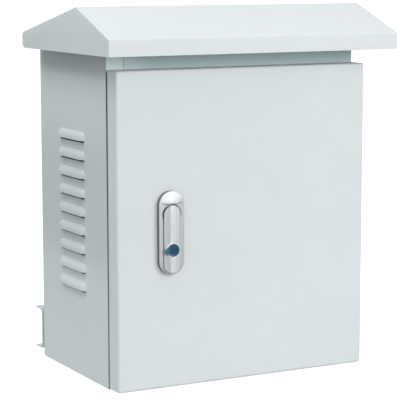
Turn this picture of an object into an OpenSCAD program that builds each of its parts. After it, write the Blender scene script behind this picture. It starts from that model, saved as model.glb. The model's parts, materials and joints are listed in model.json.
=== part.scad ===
// Outdoor electrical box of folded sheet steel with a gable rain hood, pressed side louvres,
// a hinged pan door with a plane lock, and rear rails for a wall or a pole.
// Millimetres, +Z up. The origin is the middle of the base, the door faces -Y, the hinges are at +X.

/* [Body] */
// Width of the cabinet and of its door
body_w = 400; // [360:1:520]
// Height of the cabinet under its hood
body_h = 480; // [460:1:640]
// Depth of the cabinet behind its door
body_d = 236; // [200:1:300]
// Thickness of the folded sheet
sheet_t = 1.5; // [1.2:0.1:1.8]
// Inner radius of the bends
bend_r = 2; // [1.5:0.1:2.5]
// Width of the flange round the door opening
flange_w = 27; // [26.5:0.5:32]
// Height of the header above the door
header_h = 31.5; // [26:0.5:45]
// Height of the weld flange at the back of the top and bottom panels
weld_flange_h = 12; // [8:0.5:16]

/* [Door] */
// Distance of the door's face from the front of the cabinet
door_stand = 33; // [31:0.5:38]
// Gap between the door's edge and the cabinet
door_gap = 3.5; // [2:0.1:4]
// Height of the door's lower edge above the base
door_lift = 1; // [0.5:0.1:4]
// Radius of the door's welded corners
door_corner_r = 3; // [2:0.1:5]
// Width of the foam seal
gasket_w = 12; // [8:0.5:12.5]
// Thickness of the foam seal
gasket_t = 10; // [8:0.5:12]
// Gap left at the foam seal
gasket_gap = 0.3; // [0.2:0.05:0.5]

/* [Louvres] */
// Number of louvres on each side
louvre_n = 9; // [3:1:10]
// Spacing of the louvres
louvre_pitch = 27; // [24:0.25:30]
// Height of the middle louvre above the base
louvre_mid_z = 233.5; // [200:0.5:260]
// Length of a louvre at the wall
louvre_len = 92; // [70:1:120]
// Height of a louvre from its lip to its top
louvre_h = 12.5; // [12:0.5:16]
// How far a louvre stands out of the wall
louvre_out = 6; // [4:0.25:7]
// Radius of a louvre's crown and corners
louvre_r = 10; // [9:0.25:11]
// Length of the slot under a louvre
slot_len = 80; // [50:1:84]
// Height of the slot under a louvre
slot_h = 4.4; // [3:0.1:7]

/* [Rain hood] */
// Overhang of the hood at each side
hood_side = 30; // [20:1:45]
// Overhang of the hood in front of the cabinet
hood_front = 75; // [60:1:95]
// Distance of the hood's back edge from the back of the cabinet
hood_back = 6; // [3:0.5:15]
// Height of the hood's skirt
skirt_h = 23.3; // [20:0.1:40]
// How far the skirt hangs below the top of the cabinet
skirt_drop = 10; // [6:0.5:11]
// Height of the ridge above the skirt
ridge_h = 41; // [30:0.5:60]
// Distance of the ridge behind the front of the hood
ridge_back = 107; // [90:1:140]
// Radius of the ridge's bend
ridge_r = 8; // [3:0.5:12]
// Radius of the gable's corners
gable_r = 6; // [3:0.5:8]
// Depth of the hood's foot on the cabinet
hood_foot = 18; // [15:0.5:24]
// Distance of each hood saddle from the cabinet's side
saddle_in = 50; // [35:1:80]
// Thickness of the hood saddles
saddle_t = 2; // [1.5:0.1:3]
// Width of the saddles' foot
saddle_foot = 20; // [16:0.5:25]
// Distance of the saddles' bolts from the middle of the cabinet
saddle_bolt_y = 70; // [50:1:80]
// Distance of the hood foot's bolts from the middle
foot_bolt_x = 100; // [60:1:130]

/* [Hinges] */
// Height of the lower hinge's middle
hinge_low_z = 80; // [65:1:110]
// Distance of the upper hinge's middle from the top of the cabinet
hinge_top_gap = 110; // [95:1:150]
// Length of a hinge
hinge_len = 54; // [50:1:64]
// Length of the middle knuckle
knuckle_len = 24; // [20:0.5:28]
// Distance of the pivot from the door's side
pivot_in = 9; // [8.5:0.1:9.5]
// Distance of the pivot in front of the cabinet
pivot_out = 16; // [15.5:0.1:17]
// Outer radius of the knuckles
knuckle_r = 4.5; // [4:0.1:5]
// Radius of the hinge pin
hinge_pin_r = 2.5; // [2:0.1:3]
// Clearance of the running knuckle round its pin
pin_play = 0.05; // [0.02:0.01:0.1]
// Thickness of the hinge leaves
leaf_t = 2; // [1.5:0.1:2.2]
// Thickness of the hinge arms
arm_t = 3; // [2.5:0.1:3.2]
// Gap between neighbouring knuckles
knuckle_gap = 0.3; // [0.2:0.05:0.5]

// Distance of the body leaf's screws from its ends
leaf_screw_in = 10.7; // [10:0.1:12]
// Distance of the door leaf's studs from its ends
door_stud_end = 8; // [7:0.1:10]
// Width of the door leaf's pad
door_leaf_w = 16; // [14:0.1:17]
// Distance of the door leaf's pad from the door's side
door_leaf_in = 5; // [4:0.1:6]
// Distance of the hinge studs from the door's side
door_stud_in = 15.5; // [15.2:0.1:16]
// Depth of the body leaf's pad
body_leaf_d = 16; // [14:0.1:17]
// Distance of the body leaf's pad from the flange
body_leaf_off = 3; // [2.5:0.1:4]
// Gap between a knuckle and the other leaf's arm
arm_gap = 0.5; // [0.4:0.05:0.8]
// Height of the hinge pin's head
pin_head = 2; // [1:0.1:2.5]

/* [Lock] */
// Distance of the lock's middle from the door's left edge
lock_in = 80; // [65:0.5:120]
// Height of the lock's middle above the base
lock_z = 222.5; // [200:0.5:260]
// Width of the lock's base
lock_w = 38.5; // [36:0.5:44]
// Height of the lock's base
lock_h = 117; // [112:0.5:126]
// Height of the rotor above the lock's middle
rotor_up = 25.8; // [24:0.1:27]
// Distance of the key cylinder below the lock's middle
cylinder_down = 23.6; // [22:0.1:26]
// Thickness of the seal under the lock
lock_seal_t = 1; // [0.6:0.1:1.5]
// Distance of the seal's edge from the lock's outline
lock_seal_in = 0.6; // [0.3:0.1:1.5]
// Height of the base's outer edge over the door
rim_h = 7.1; // [6.6:0.1:7.3]
// Height of the flat under the handle
floor_h = 7.6; // [7.5:0.1:8]
// Rise of the dome above that flat
dome_rise = 3; // [1.5:0.1:3.4]
// How far the dome's middle is set towards the handle
dome_in = 0.7; // [0:0.1:2]
// Radius of the dome's foot
dome_r = 10; // [8:0.1:10.2]
// Width of the handle
handle_w = 26; // [25:0.5:26]
// Gap between the handle and the flat under it
handle_gap = 0.4; // [0.3:0.05:0.6]
// Height of the handle's long edges
handle_wall = 1.5; // [1.4:0.1:2.4]
// Rise of the handle's crown
handle_crown = 1.8; // [1.6:0.1:2.4]
// Distance of the handle's end from the base's end
handle_inset = 3; // [2:0.1:4]
// Gap round the handle's head
head_gap = 1.5; // [1:0.1:1.7]
// Distance of the handle's cross pin above the rotor axis
lift_up = 9.5; // [9.2:0.1:9.8]
// Radius of the handle's cross pin
cross_pin_r = 1; // [0.8:0.05:1.2]
// Radius of the rotor's spindle
spindle_r = 6; // [5.5:0.1:6.5]
// Side of the square that carries the cam
spindle_square = 8; // [7:0.1:8]
// Radius of the key cylinder
cylinder_r = 8; // [7.5:0.1:8.5]
// Radius of the key plug
plug_r = 5.5; // [5:0.1:5.8]
// Radius of the dust cap
cap_r = 9; // [8.5:0.1:9.5]
// Thickness of the dust cap
cap_t = 1.5; // [1.2:0.1:2.4]
// Radius of the dust cap's pivot lobe
lobe_r = 5.4; // [4.5:0.1:5.5]
// Distance of the cap's pivot from its middle
lobe_off = 7.4; // [7:0.1:7.4]
// Length of the cam from the rotor axis to its tip
cam_len = 66; // [62:0.5:70]
// Width of the cam
cam_w = 16; // [14:0.5:18]
// Thickness of the cam
cam_t = 3; // [2.5:0.1:4]
// Length of the cam's screw in the spindle
cam_screw_len = 8; // [6:0.5:12]
// Gap between the cam and the flange that it holds
cam_gap = 1; // [0.5:0.1:1.5]

/* [Lock details] */
// Height of the floor of the pocket round the rotor
pocket_floor = 2.9; // [2:0.1:3.5]
// Gap between the rotor's disc and the pocket's floor
disc_gap = 0.3; // [0.2:0.05:0.5]
// Thickness of the rotor's disc
disc_t = 2.4; // [2:0.1:2.6]
// How far the rotor's disc reaches past the handle's head
disc_more = 0.6; // [0.3:0.05:0.8]
// Height of the cross pin above the handle's underside
pin_rise = 0.1; // [0.05:0.05:0.4]
// Radius of the rotor's eye round the cross pin
eye_r = 1.9; // [1.7:0.05:2]
// Width of the rotor's lug
lug_w = 6; // [5:0.1:6.4]
// Clearance of the lug in the handle
lug_play = 0.3; // [0.2:0.05:0.5]
// How far the handle's slot reaches below the lug
lug_slot = 4; // [3.5:0.1:5]
// Distance of the cross pin's ends from the handle's sides
cross_pin_in = 5.8; // [5.6:0.1:7]
// Wall of the handle's ears past the cross pin's ends
ear_wall = 0.5; // [0.3:0.1:0.6]
// Wall of the neck round the spindle
neck_wall = 3; // [2.5:0.1:4]
// Length of the neck behind the door's face
neck_len = 16; // [12:0.5:18]
// Thickness of the clip on the spindle
clip_t = 1; // [0.8:0.1:1.2]
// Play of the clip along the spindle
clip_play = 0.1; // [0.05:0.01:0.2]
// Clearance of the neck, housing and bosses in the door
door_hole_play = 0.5; // [0.2:0.1:1]
// Thickness of the clamp plate
clamp_t = 2; // [1.5:0.1:3]
// Distance of the clamp plate's edge from the lock's outline
clamp_inset = 3; // [2:0.1:4]
// Distance of the lock's screws from its ends
lock_screw_in = 8.5; // [8:0.1:10]
// Radius of the bosses for the lock's screws
lock_boss_r = 3.5; // [3:0.1:3.6]
// Depth of the lock's screws behind the door's face
lock_screw_deep = 3; // [2:0.1:3.2]
// Length of the cylinder's housing behind the door's face
housing_len = 20; // [16:0.5:24]
// Clearance of the key plug in its housing
plug_play = 0.08; // [0.03:0.01:0.1]
// How far the plug stands out behind its housing
plug_out = 1; // [0.5:0.1:2]
// Depth of the plug's head
plug_head_t = 1.5; // [1.2:0.1:2]
// How far the plug's head reaches past the plug
plug_head_more = 0.9; // [0.6:0.05:1]
// Width of the keyway
keyway_w = 1.4; // [1:0.1:1.8]
// Height of the keyway
keyway_h = 8; // [6:0.1:9]
// Depth of the keyway
keyway_d = 18; // [12:0.5:20]
// Thickness of the ring nut
ring_nut_t = 3.5; // [2.5:0.1:4.5]
// Radius of the ring nut
ring_nut_r = 11.5; // [10.5:0.1:12.5]
// Length of the plug's tongue from its axis
tongue_len = 15; // [12:0.5:18]
// Width of the plug's tongue
tongue_w = 8; // [6:0.1:9]
// Thickness of the plug's tongue
tongue_t = 2; // [1.5:0.1:3]
// Width of the pad round the dust cap
pad_border = 1.2; // [0.8:0.1:1.6]
// Height of the pad above the handle's crown
pad_rise = 0.3; // [0.2:0.05:0.6]
// Gap between the pad and the dust cap
cap_gap = 0.2; // [0.1:0.05:0.4]
// Radius of the dust cap's pin
cap_pin_r = 1.3; // [1:0.1:1.5]
// Depth of the dust cap's pin in the handle
cap_pin_deep = 3; // [2:0.1:4]
// Distance of the cap's pivot below its middle
cap_drop = 1.3; // [0:0.1:2]

/* [Mounting plate] */
// Gap between the mounting plate and each side of the cabinet
plate_side_gap = 35; // [30:1:60]
// Gap between the mounting plate and the cabinet's top or bottom
plate_end_gap = 40; // [35:1:70]
// Thickness of the mounting plate
plate_t = 2; // [1.5:0.1:3]
// Depth of the mounting plate's folded edges
plate_fold = 10; // [8:0.5:14]
// Distance of the plate from the back wall
plate_off = 20; // [16:0.5:30]
// Distance of the plate's studs from its edges
stud_inset = 15; // [12:0.5:20]
// Length of thread on the plate's studs
stud_thread = 10; // [8:0.5:14]
// Width between the holes for equipment
kit_span_x = 200; // [150:1:220]
// Height between the holes for equipment
kit_span_z = 250; // [200:1:280]

/* [Rear rails] */
// Height of a rail's section
rail_h = 63; // [55:0.5:70]
// Depth of a rail's section
rail_d = 25; // [20:0.5:30]
// Thickness of the rails
rail_t = 2.5; // [2:0.1:3]
// Inner radius of the rails' bends
rail_bend_r = 5; // [3:0.5:7]
// Thickness of the spacers between a rail and the cabinet
rail_spacer = 4; // [3:0.1:6]
// Length of the upper rail
upper_rail_len = 330; // [320:1:340]
// Height of the lower rail's middle
lower_rail_z = 40.5; // [38:0.5:50]
// Distance of the upper rail's middle from the top of the cabinet
upper_rail_gap = 44; // [40:0.5:60]
// Distance of the rails' bolts from the middle
rail_bolt_x = 110; // [90:1:120]
// Distance of the wall slots from the upper rail's ends
wall_slot_in = 20; // [16:0.5:26]
// Half width of the wall slots
wall_slot_r = 4.5; // [4:0.1:5.5]
// Length of the wall slots
wall_slot_len = 20; // [16:0.5:24]
// Width of the notch that takes a pole
pole_notch_w = 70; // [50:1:90]
// Depth of that notch
pole_notch_d = 13; // [8:0.5:16]
// Distance of the band slots from the middle
band_slot_x = 55; // [50:1:65]

/* [Cable entry] */
// Width of the gland plate
gland_w = 280; // [250:1:300]
// Depth of the gland plate
gland_d = 80; // [76:1:90]
// Thickness of the gland plate
gland_t = 2; // [1.5:0.1:3]
// Distance of the gland plate's middle from the back of the cabinet
gland_back = 68; // [60:1:80]
// Width of the gland plate's rim on the base
gland_rim = 12; // [11:0.5:13]
// Spacing of the cable grommets
grommet_pitch = 80; // [70:1:84]
// Radius of the gland plate's holes
grommet_hole_r = 18; // [15:0.5:20]
// Radius of a grommet's cable passage
passage_r = 9; // [6:0.5:12]
// Width of a grommet's lips
grommet_lip = 4; // [3:0.1:5]
// Height of a grommet above the gland plate
grommet_top = 6.5; // [5:0.1:9]
// Thickness of a grommet's upper lip
grommet_lip_t = 2; // [1.5:0.1:3]
// Thickness of a grommet's wall at its top
grommet_wall = 3; // [2:0.1:4]
// Chamfer of a grommet's lips
grommet_edge = 1; // [0.5:0.1:1.4]
// Thickness of the gland plate's seal
gland_seal_t = 1; // [0.6:0.1:2]

/* [Earth studs] */
// Distance of the cabinet's earth stud from its side
body_earth_in = 20; // [16:1:26]
// Distance of the door's earth stud from its side
door_earth_in = 80; // [60:1:100]
// Height of both earth studs above the base
earth_up = 60; // [50:1:90]
// Length of the cabinet's earth stud
body_earth_len = 16; // [12:0.5:18]
// Length of the door's earth stud
door_earth_len = 14; // [10:0.5:18]
// Bare thread under an earth nut
earth_grip = 3; // [2:0.1:5]

/* [Fasteners] */
// Radius of the M4 screws
m4_r = 2; // [2:0.05:2.1]
// Radius of the M5 studs
m5_r = 2.5; // [2.5:0.05:2.6]
// Radius of the M6 bolts
m6_r = 3; // [3:0.05:3.1]
// Radius of the M8 bolts
m8_r = 4; // [4:0.05:4.1]
// Clearance of a bolt in its hole
hole_play = 0.4; // [0.2:0.05:0.6]
// Thickness of the washers
washer_t = 1.5; // [1:0.1:2]
// Clearance of the washers and spacers round their bolts
washer_play = 0.2; // [0.1:0.05:0.4]
// Length of thread past a nut
thread_over = 1; // [0.5:0.1:3]
// How far a cutter runs past what it cuts
over = 1; // [0.5:0.1:2]

/* [Hidden] */

$fn = 48;
eps = 0.01;             // overlap that keeps one solid whole
far = 2 * body_w;       // a length past the whole part
bend_steps = 6;         // flats in each bend
t = sheet_t;

// Planes of the cabinet
front_y = -body_d / 2;
back_y = body_d / 2;
side_x = body_w / 2;
seam_x = side_x - flange_w;              // edge of the side flanges
opening_x = seam_x - t;                  // half width of the door opening
door_lo = door_lift;
door_hi = body_h - header_h;
opening_lo = flange_w + t;
opening_hi = door_hi - flange_w - t;
mid_r = bend_r + t / 2;                  // bend radius at the middle of the sheet

// Planes of the door and its seal
door_front_y = front_y - door_stand;
door_in_y = door_front_y + t;
door_back_y = front_y - door_gap;
seal_tip_y = door_in_y + gasket_t;
lip_tip_y = seal_tip_y + gasket_gap;
lip_mid_x = opening_x + t / 2;

// Planes of the hood
hood_x = side_x + hood_side;
hood_front_y = front_y - hood_front;
hood_back_y = back_y - hood_back;
skirt_lo = body_h - skirt_drop;
eave_z = skirt_lo + skirt_h;
ridge_z = eave_z + ridge_h;
ridge_y = hood_front_y + ridge_back;
saddle_x = side_x - saddle_in;
foot_bolt_y = hood_back_y - hood_foot / 2 - t;
front_pitch = atan2(ridge_h, ridge_back);
back_pitch = atan2(ridge_h, hood_back_y - ridge_y);

// Hinge axis and hinge heights
pivot_x = side_x - pivot_in;
pivot_y = front_y - pivot_out;
hinge_zs = [hinge_low_z, body_h - hinge_top_gap];
end_knuckle = (hinge_len - knuckle_len) / 2 - knuckle_gap;
leaf_screw_dz = hinge_len / 2 - leaf_screw_in;
door_stud_dz = hinge_len / 2 - door_stud_end;

// Lock: x and z of its axes, and heights over the door's face
lock_x = -side_x + lock_in;
rotor_z = lock_z + rotor_up;
cylinder_z = lock_z - cylinder_down;
lock_r = lock_w / 2;
lock_low_z = lock_z - lock_h / 2 + lock_r;      // centre of the base's lower end
lock_high_z = lock_z + lock_h / 2 - lock_r;     // centre of the base's upper end
handle_r = handle_w / 2;
pocket_r = handle_r + head_gap;
disc_lo = pocket_floor + disc_gap;
disc_hi = disc_lo + disc_t;
under_h = floor_h + handle_gap;                 // underside of the handle
edge_h = under_h + handle_wall;
crown_h = edge_h + handle_crown;
pin_h = under_h + pin_rise;                     // height of the cross pin
ear_out = handle_r - cross_pin_in + ear_wall;   // outer face of the handle's ears
lug_half = lug_w / 2;
neck_r = spindle_r + neck_wall;
neck_end = -neck_len;
boss_top = crown_h + pad_rise;                  // flat under the dust cap
cap_lo = boss_top + cap_gap;
cap_lobe_x = lock_x - lobe_off;
cap_lobe_z = cylinder_z - cap_drop;
clamp_lo = -t - clamp_t;                        // rear face of the clamp plate
lock_screw_dz = lock_h / 2 - lock_screw_in;
cam_h = -(door_stand + t + cam_gap);            // front face of the latch cam
housing_end = -housing_len;
plug_end = housing_end - plug_out;

// Mounting plate, rails and cable entry
plate_w = body_w - 2 * plate_side_gap;
plate_h = body_h - 2 * plate_end_gap;
stud_span_x = plate_w - 2 * stud_inset;
stud_span_z = plate_h - 2 * stud_inset;
plate_back_y = back_y - t - plate_off;
plate_front_y = plate_back_y - plate_t;
plate_z = (body_h - t) / 2;
rail_front_y = back_y + rail_spacer;
upper_rail_z = body_h - upper_rail_gap;
wall_slot_x = upper_rail_len / 2 - wall_slot_in;
rail_zs = [lower_rail_z, upper_rail_z];
gland_y = back_y - gland_back;
grommet_xs = [-grommet_pitch, 0, grommet_pitch];
gland_lo = t + gland_seal_t;
gland_hi = gland_lo + gland_t;
grommet_r = grommet_hole_r + grommet_lip;
gland_bolt_x = gland_w / 2 - gland_rim / 2;
gland_bolt_y = gland_d / 2 - gland_rim / 2;
body_earth_x = -side_x + body_earth_in;
door_earth_x = -side_x + door_earth_in;

// Louvre form: the crown's centre lies behind the wall's face
crown_in = louvre_out - louvre_r;
crown_half = sqrt(louvre_r * louvre_r - crown_in * crown_in);
crown_y = louvre_len / 2 - crown_half;
crown_z = louvre_h - crown_half;

light_grey = [0.80, 0.83, 0.83];
zinc = [0.72, 0.73, 0.75];
chrome = [0.82, 0.82, 0.84];
galvanised = [0.66, 0.68, 0.70];
dark_rubber = [0.12, 0.12, 0.13];
foam = [0.20, 0.20, 0.21];
cap_blue = [0.02, 0.16, 0.32];

// ---------------------------------------------------------------- folded sections

function unit(v) = v / norm(v);
function left_of(v) = [-v[1], v[0]];
function turned(v, a) = [v[0] * cos(a) - v[1] * sin(a), v[0] * sin(a) + v[1] * cos(a)];

// The arc of a bend at b between the lines a-b and b-c: r at the line itself, off to its left
function bend(a, b, c, r, off) =
    let (d1 = unit(b - a), d2 = unit(c - b),
         angle = atan2(d1[0] * d2[1] - d1[1] * d2[0], d1 * d2),
         way = sign(angle),
         centre = b - d1 * r * tan(abs(angle) / 2) + left_of(d1) * way * r,
         out = -left_of(d1) * way)
    [for (i = [0:bend_steps]) centre + turned(out, angle * i / bend_steps) * (r - way * off)];

// One face of a bent strip, off to the left of its middle line
function strip_face(path, radii, off) =
    let (n = len(path) - 1)
    concat([path[0] + left_of(unit(path[1] - path[0])) * off],
           [for (i = [1:n - 1]) each bend(path[i - 1], path[i], path[i + 1], radii[i - 1], off)],
           [path[n] + left_of(unit(path[n] - path[n - 1])) * off]);

function backwards(list) = [for (i = [len(list) - 1:-1:0]) list[i]];

// Section of a folded sheet: its middle line, thickness and mid-line bend radii
module strip(path, thick, radii) {
    polygon(concat(strip_face(path, radii, thick / 2), backwards(strip_face(path, radii, -thick / 2))));
}

// Closed outline with a radius at each corner
function rounded(pts, radii) =
    let (n = len(pts))
    [for (i = [0:n - 1]) each bend(pts[(i + n - 1) % n], pts[i], pts[(i + 1) % n], radii[i], 0)];

function rectangle(w, h) = [[-w / 2, -h / 2], [w / 2, -h / 2], [w / 2, h / 2], [-w / 2, h / 2]];
function same(value, n) = [for (i = [1:n]) value];

module rounded_plate(w, h, r) polygon(rounded(rectangle(w, h), same(r, 4)));

// A section in Y and Z drawn along X
module along_x(length) translate([-length / 2, 0, 0]) rotate([90, 0, 90]) linear_extrude(length) children();

// A section in X and Y drawn up from z
module up_from(z, height) translate([0, 0, z]) linear_extrude(height) children();

// Local X right, Y up and Z out of the door's face
module on_door(x, z) translate([x, door_front_y, z]) rotate([90, 0, 0]) children();

// Local Z towards the back
module to_back(x, y, z) translate([x, y, z]) rotate([-90, 0, 0]) children();

module box(x, y, z) translate([x[0], y[0], z[0]]) cube([x[1] - x[0], y[1] - y[0], z[1] - z[0]]);

module mirrored_x() for (way = [0, 1]) mirror([way, 0, 0]) children();

module ring(r_in, r_out, height) difference() {
    cylinder(r = r_out, h = height);
    translate([0, 0, -over]) cylinder(r = r_in, h = height + 2 * over);
}

// ---------------------------------------------------------------- fasteners, each along local +Z

module hex_prism(r, height) cylinder(r = r, h = height, $fn = 6);

// Hexagon bolt: its shank starts at z = 0 and its head is below
module hex_bolt(r, length) {
    translate([0, 0, -1.3 * r]) hex_prism(1.85 * r, 1.3 * r);
    translate([0, 0, -eps]) cylinder(r = r, h = length + eps);
}

// Hexagon nut on a thread of radius r
module hex_nut(r, height) difference() {
    hex_prism(1.85 * r, height);
    translate([0, 0, -over]) cylinder(r = r, h = height + 2 * over);
}

module washer(r) ring(r + washer_play, 2.1 * r, washer_t);

// Screw with a low round head below z = 0
module pan_screw(r, length) {
    translate([0, 0, -1.2 * r]) cylinder(r1 = 1.5 * r, r2 = 1.9 * r, h = 1.2 * r);
    translate([0, 0, -eps]) cylinder(r = r, h = length + eps);
}

// Screw with its flush head from z = 0
module flush_screw(r, length) {
    cylinder(r1 = 1.9 * r, r2 = r, h = 0.9 * r);
    cylinder(r = r, h = length);
}

// ---------------------------------------------------------------- cabinet

// One louvre's crown, closed above and cut off at its lip; shrink gives the hollow under it
module louvre_form(shrink, reach) {
    r = louvre_r - shrink;
    out = louvre_out - shrink;
    intersection() {
        linear_extrude(louvre_h + over) intersection() {
            union() {
                for (way = [-1, 1]) translate([crown_in, way * crown_y]) circle(r = r);
                translate([crown_in - r, -crown_y]) square([out - crown_in + r, 2 * crown_y]);
            }
            translate([-reach, -louvre_len]) square([2 * louvre_r, 2 * louvre_len]);
        }
        translate([0, louvre_len, 0]) rotate([90, 0, 0]) linear_extrude(2 * louvre_len) intersection() {
            union() {
                translate([crown_in, crown_z]) circle(r = r);
                translate([crown_in - r, -louvre_h]) square([out - crown_in + r, louvre_h + crown_z]);
            }
            translate([-reach, 0]) square([2 * louvre_r, 2 * louvre_h]);
        }
    }
}

// Height of the lip of louvre i
function lip_z(i) = louvre_mid_z + (i - (louvre_n - 1) / 2) * louvre_pitch + slot_h / 2;

module at_louvres() mirrored_x() for (i = [0:louvre_n - 1]) translate([side_x, 0, lip_z(i)]) children();

// Plan of the folded wrap: lips, front flanges, sides and back in one strip
module wrap_plan() {
    x = side_x - t / 2;
    y0 = front_y + t / 2;
    y1 = back_y - t / 2;
    strip([[-lip_mid_x, lip_tip_y], [-lip_mid_x, y0], [-x, y0], [-x, y1],
           [x, y1], [x, y0], [lip_mid_x, y0], [lip_mid_x, lip_tip_y]], t, same(mid_r, 6));
}

module body_shell() color(light_grey) difference() {
    union() {
        difference() {
            up_from(0, body_h) wrap_plan();
            for (z = [[-over, opening_lo], [opening_hi, body_h + over]])
                box([-seam_x, seam_x], [lip_tip_y - over, front_y + t + bend_r], z);
        }
        at_louvres() louvre_form(0, t / 2);
    }
    at_louvres() {
        louvre_form(t, t + over);
        box([-t - over, louvre_out - t], [-slot_len / 2, slot_len / 2], [-slot_h, eps]);
    }
    for (x = [-rail_bolt_x, rail_bolt_x], z = rail_zs)
        to_back(x, back_y - t - over, z) cylinder(r = m8_r + hole_play, h = t + 2 * over);
    for (z = hinge_zs, dz = [-leaf_screw_dz, leaf_screw_dz])
        leaf_screw_place(z + dz) translate([0, 0, -over]) cylinder(r = m4_r + hole_play, h = t + leaf_t + 2 * over);
}

// Section of the top panel; the bottom panel is the same one turned over
module panel_section(flange_to) {
    lip_z = flange_to - t / 2;
    strip([[lip_tip_y, lip_z], [front_y + t / 2, lip_z], [front_y + t / 2, body_h - t / 2],
           [back_y - 1.5 * t, body_h - t / 2], [back_y - 1.5 * t, body_h - weld_flange_h]], t, same(mid_r, 3));
}

// Plate, front flange with its lip, and weld flange at the back
module folded_panel(flange_to) {
    difference() {
        along_x(2 * seam_x) panel_section(flange_to);
        mirrored_x() box([opening_x, side_x], [lip_tip_y - over, front_y + t + bend_r],
                         [flange_to - t - over, flange_to + bend_r]);
    }
    depth = body_d - 2 * t - bend_r;
    translate([0, bend_r / 2, body_h - t]) linear_extrude(t) rounded_plate(body_w - 2 * t, depth, 2 * bend_r);
}

module top_panel() color(light_grey) difference() {
    folded_panel(door_hi - flange_w);
    hood_bolt_places() translate([0, 0, -over]) cylinder(r = m6_r + hole_play, h = t + 2 * over);
}

module bottom_panel() color(light_grey) difference() {
    translate([0, 0, body_h]) mirror([0, 0, 1]) folded_panel(body_h - flange_w);
    translate([0, gland_y, -over])
        linear_extrude(t + 2 * over) square([gland_w - 2 * gland_rim, gland_d - 2 * gland_rim], center = true);
    gland_bolt_places() translate([0, 0, -over]) cylinder(r = m4_r + hole_play, h = t + 2 * over);
}

// ---------------------------------------------------------------- rain hood

function on_front(y) = y < ridge_y;
// Height of the roof's outer face at y, and of the face that lies `deep` under it
function roof_z(y) = ridge_z - (on_front(y) ? (ridge_y - y) * tan(front_pitch) : (y - ridge_y) * tan(back_pitch));
function under_roof(y, deep) = roof_z(y) - deep / cos(on_front(y) ? front_pitch : back_pitch);
// Where the two slopes meet, `deep` under the ridge
function ridge_under(deep) =
    let (y = ridge_y + deep * (1 / cos(front_pitch) - 1 / cos(back_pitch)) / (tan(front_pitch) + tan(back_pitch)))
    [y, under_roof(max(y, ridge_y), deep)];

module hood_section() {
    y0 = hood_front_y + t / 2;
    y1 = hood_back_y - t / 2;
    strip([[y0, skirt_lo], [y0, under_roof(y0, t / 2)], ridge_under(t / 2), [y1, under_roof(y1, t / 2)],
           [y1, body_h + t / 2], [hood_back_y - hood_foot, body_h + t / 2]],
          t, [mid_r, ridge_r, mid_r, mid_r]);
}

module gable_outline() {
    polygon(rounded([[hood_front_y, skirt_lo], [hood_back_y, skirt_lo], [hood_back_y, eave_z],
                     [ridge_y, ridge_z], [hood_front_y, eave_z]],
                    [bend_r, gable_r, gable_r, ridge_r + t / 2, bend_r + t]));
}

module rain_hood() color(light_grey) difference() {
    union() {
        intersection() {
            along_x(2 * hood_x) hood_section();
            along_x(2 * hood_x) gable_outline();
        }
        mirrored_x() translate([hood_x - t / 2, 0, 0]) along_x(t) gable_outline();
    }
    for (x = [-foot_bolt_x, foot_bolt_x])
        translate([x, foot_bolt_y, body_h - over]) cylinder(r = m6_r + hole_play, h = t + 2 * over);
}

module hood_bolt_places() {
    for (x = [-foot_bolt_x, foot_bolt_x]) translate([x, foot_bolt_y, body_h - t]) children();
    for (x = [-1, 1], y = [-saddle_bolt_y, saddle_bolt_y])
        translate([x * (saddle_x - saddle_t - saddle_foot / 2), y, body_h - t]) children();
}

// Upright web under the roof with a foot on the top panel
module hood_saddle() {
    y0 = front_y + 2 * bend_r;
    y1 = hood_back_y - hood_foot - 2 * bend_r;
    top = ridge_under(t);
    cut = (ridge_r + t) * tan((front_pitch + back_pitch) / 2);
    translate([saddle_x - saddle_t / 2, 0, 0]) along_x(saddle_t)
        polygon([[y0, body_h], [y1, body_h], [y1, under_roof(y1, t)],
                 [top[0] + cut, under_roof(top[0] + cut, t)], [top[0] - cut, under_roof(top[0] - cut, t)],
                 [y0, under_roof(y0, t)]]);
    difference() {
        box([saddle_x - saddle_t - saddle_foot, saddle_x], [y0, y1], [body_h, body_h + saddle_t]);
        for (y = [-saddle_bolt_y, saddle_bolt_y])
            translate([saddle_x - saddle_t - saddle_foot / 2, y, body_h - over])
                cylinder(r = m6_r + hole_play, h = saddle_t + 2 * over);
    }
}

module hood_saddle_left() color(galvanised) mirror([1, 0, 0]) hood_saddle();
module hood_saddle_right() color(galvanised) hood_saddle();

module hood_bolts() color(zinc) hood_bolt_places() hex_bolt(m6_r, t + saddle_t + 1.6 * m6_r + 2 * thread_over);

module hood_nuts() color(zinc) {
    for (x = [-foot_bolt_x, foot_bolt_x]) translate([x, foot_bolt_y, body_h + t]) hex_nut(m6_r, 1.6 * m6_r);
    for (x = [-1, 1], y = [-saddle_bolt_y, saddle_bolt_y])
        translate([x * (saddle_x - saddle_t - saddle_foot / 2), y, body_h + saddle_t]) hex_nut(m6_r, 1.6 * m6_r);
}

// ---------------------------------------------------------------- mounting plate

module at_studs() for (x = [-1, 1], z = [-1, 1])
    to_back(x * stud_span_x / 2, plate_front_y, plate_z + z * stud_span_z / 2) children();

module mounting_plate() color(galvanised) difference() {
    y = plate_front_y + plate_t / 2;
    x = plate_w / 2 - plate_t / 2;
    up_from(plate_z - plate_h / 2, plate_h)
        strip([[-x, y + plate_fold], [-x, y], [x, y], [x, y + plate_fold]], plate_t, same(bend_r + plate_t / 2, 2));
    at_studs() translate([0, 0, -over]) cylinder(r = m8_r + hole_play, h = plate_t + 2 * over);
    for (x = [-1, 1], z = [-1, 1])
        to_back(x * kit_span_x / 2, plate_front_y - over, plate_z + z * kit_span_z / 2)
            cylinder(r = m6_r + hole_play, h = plate_t + 2 * over);
}

// Shouldered weld studs on the back wall
module plate_studs() color(zinc) at_studs() {
    translate([0, 0, plate_t]) cylinder(r = 1.6 * m8_r, h = plate_off);
    translate([0, 0, -washer_t - stud_thread]) cylinder(r = m8_r, h = washer_t + stud_thread + plate_t + eps);
}

module plate_washers() color(zinc) at_studs() translate([0, 0, -washer_t]) washer(m8_r);

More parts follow.
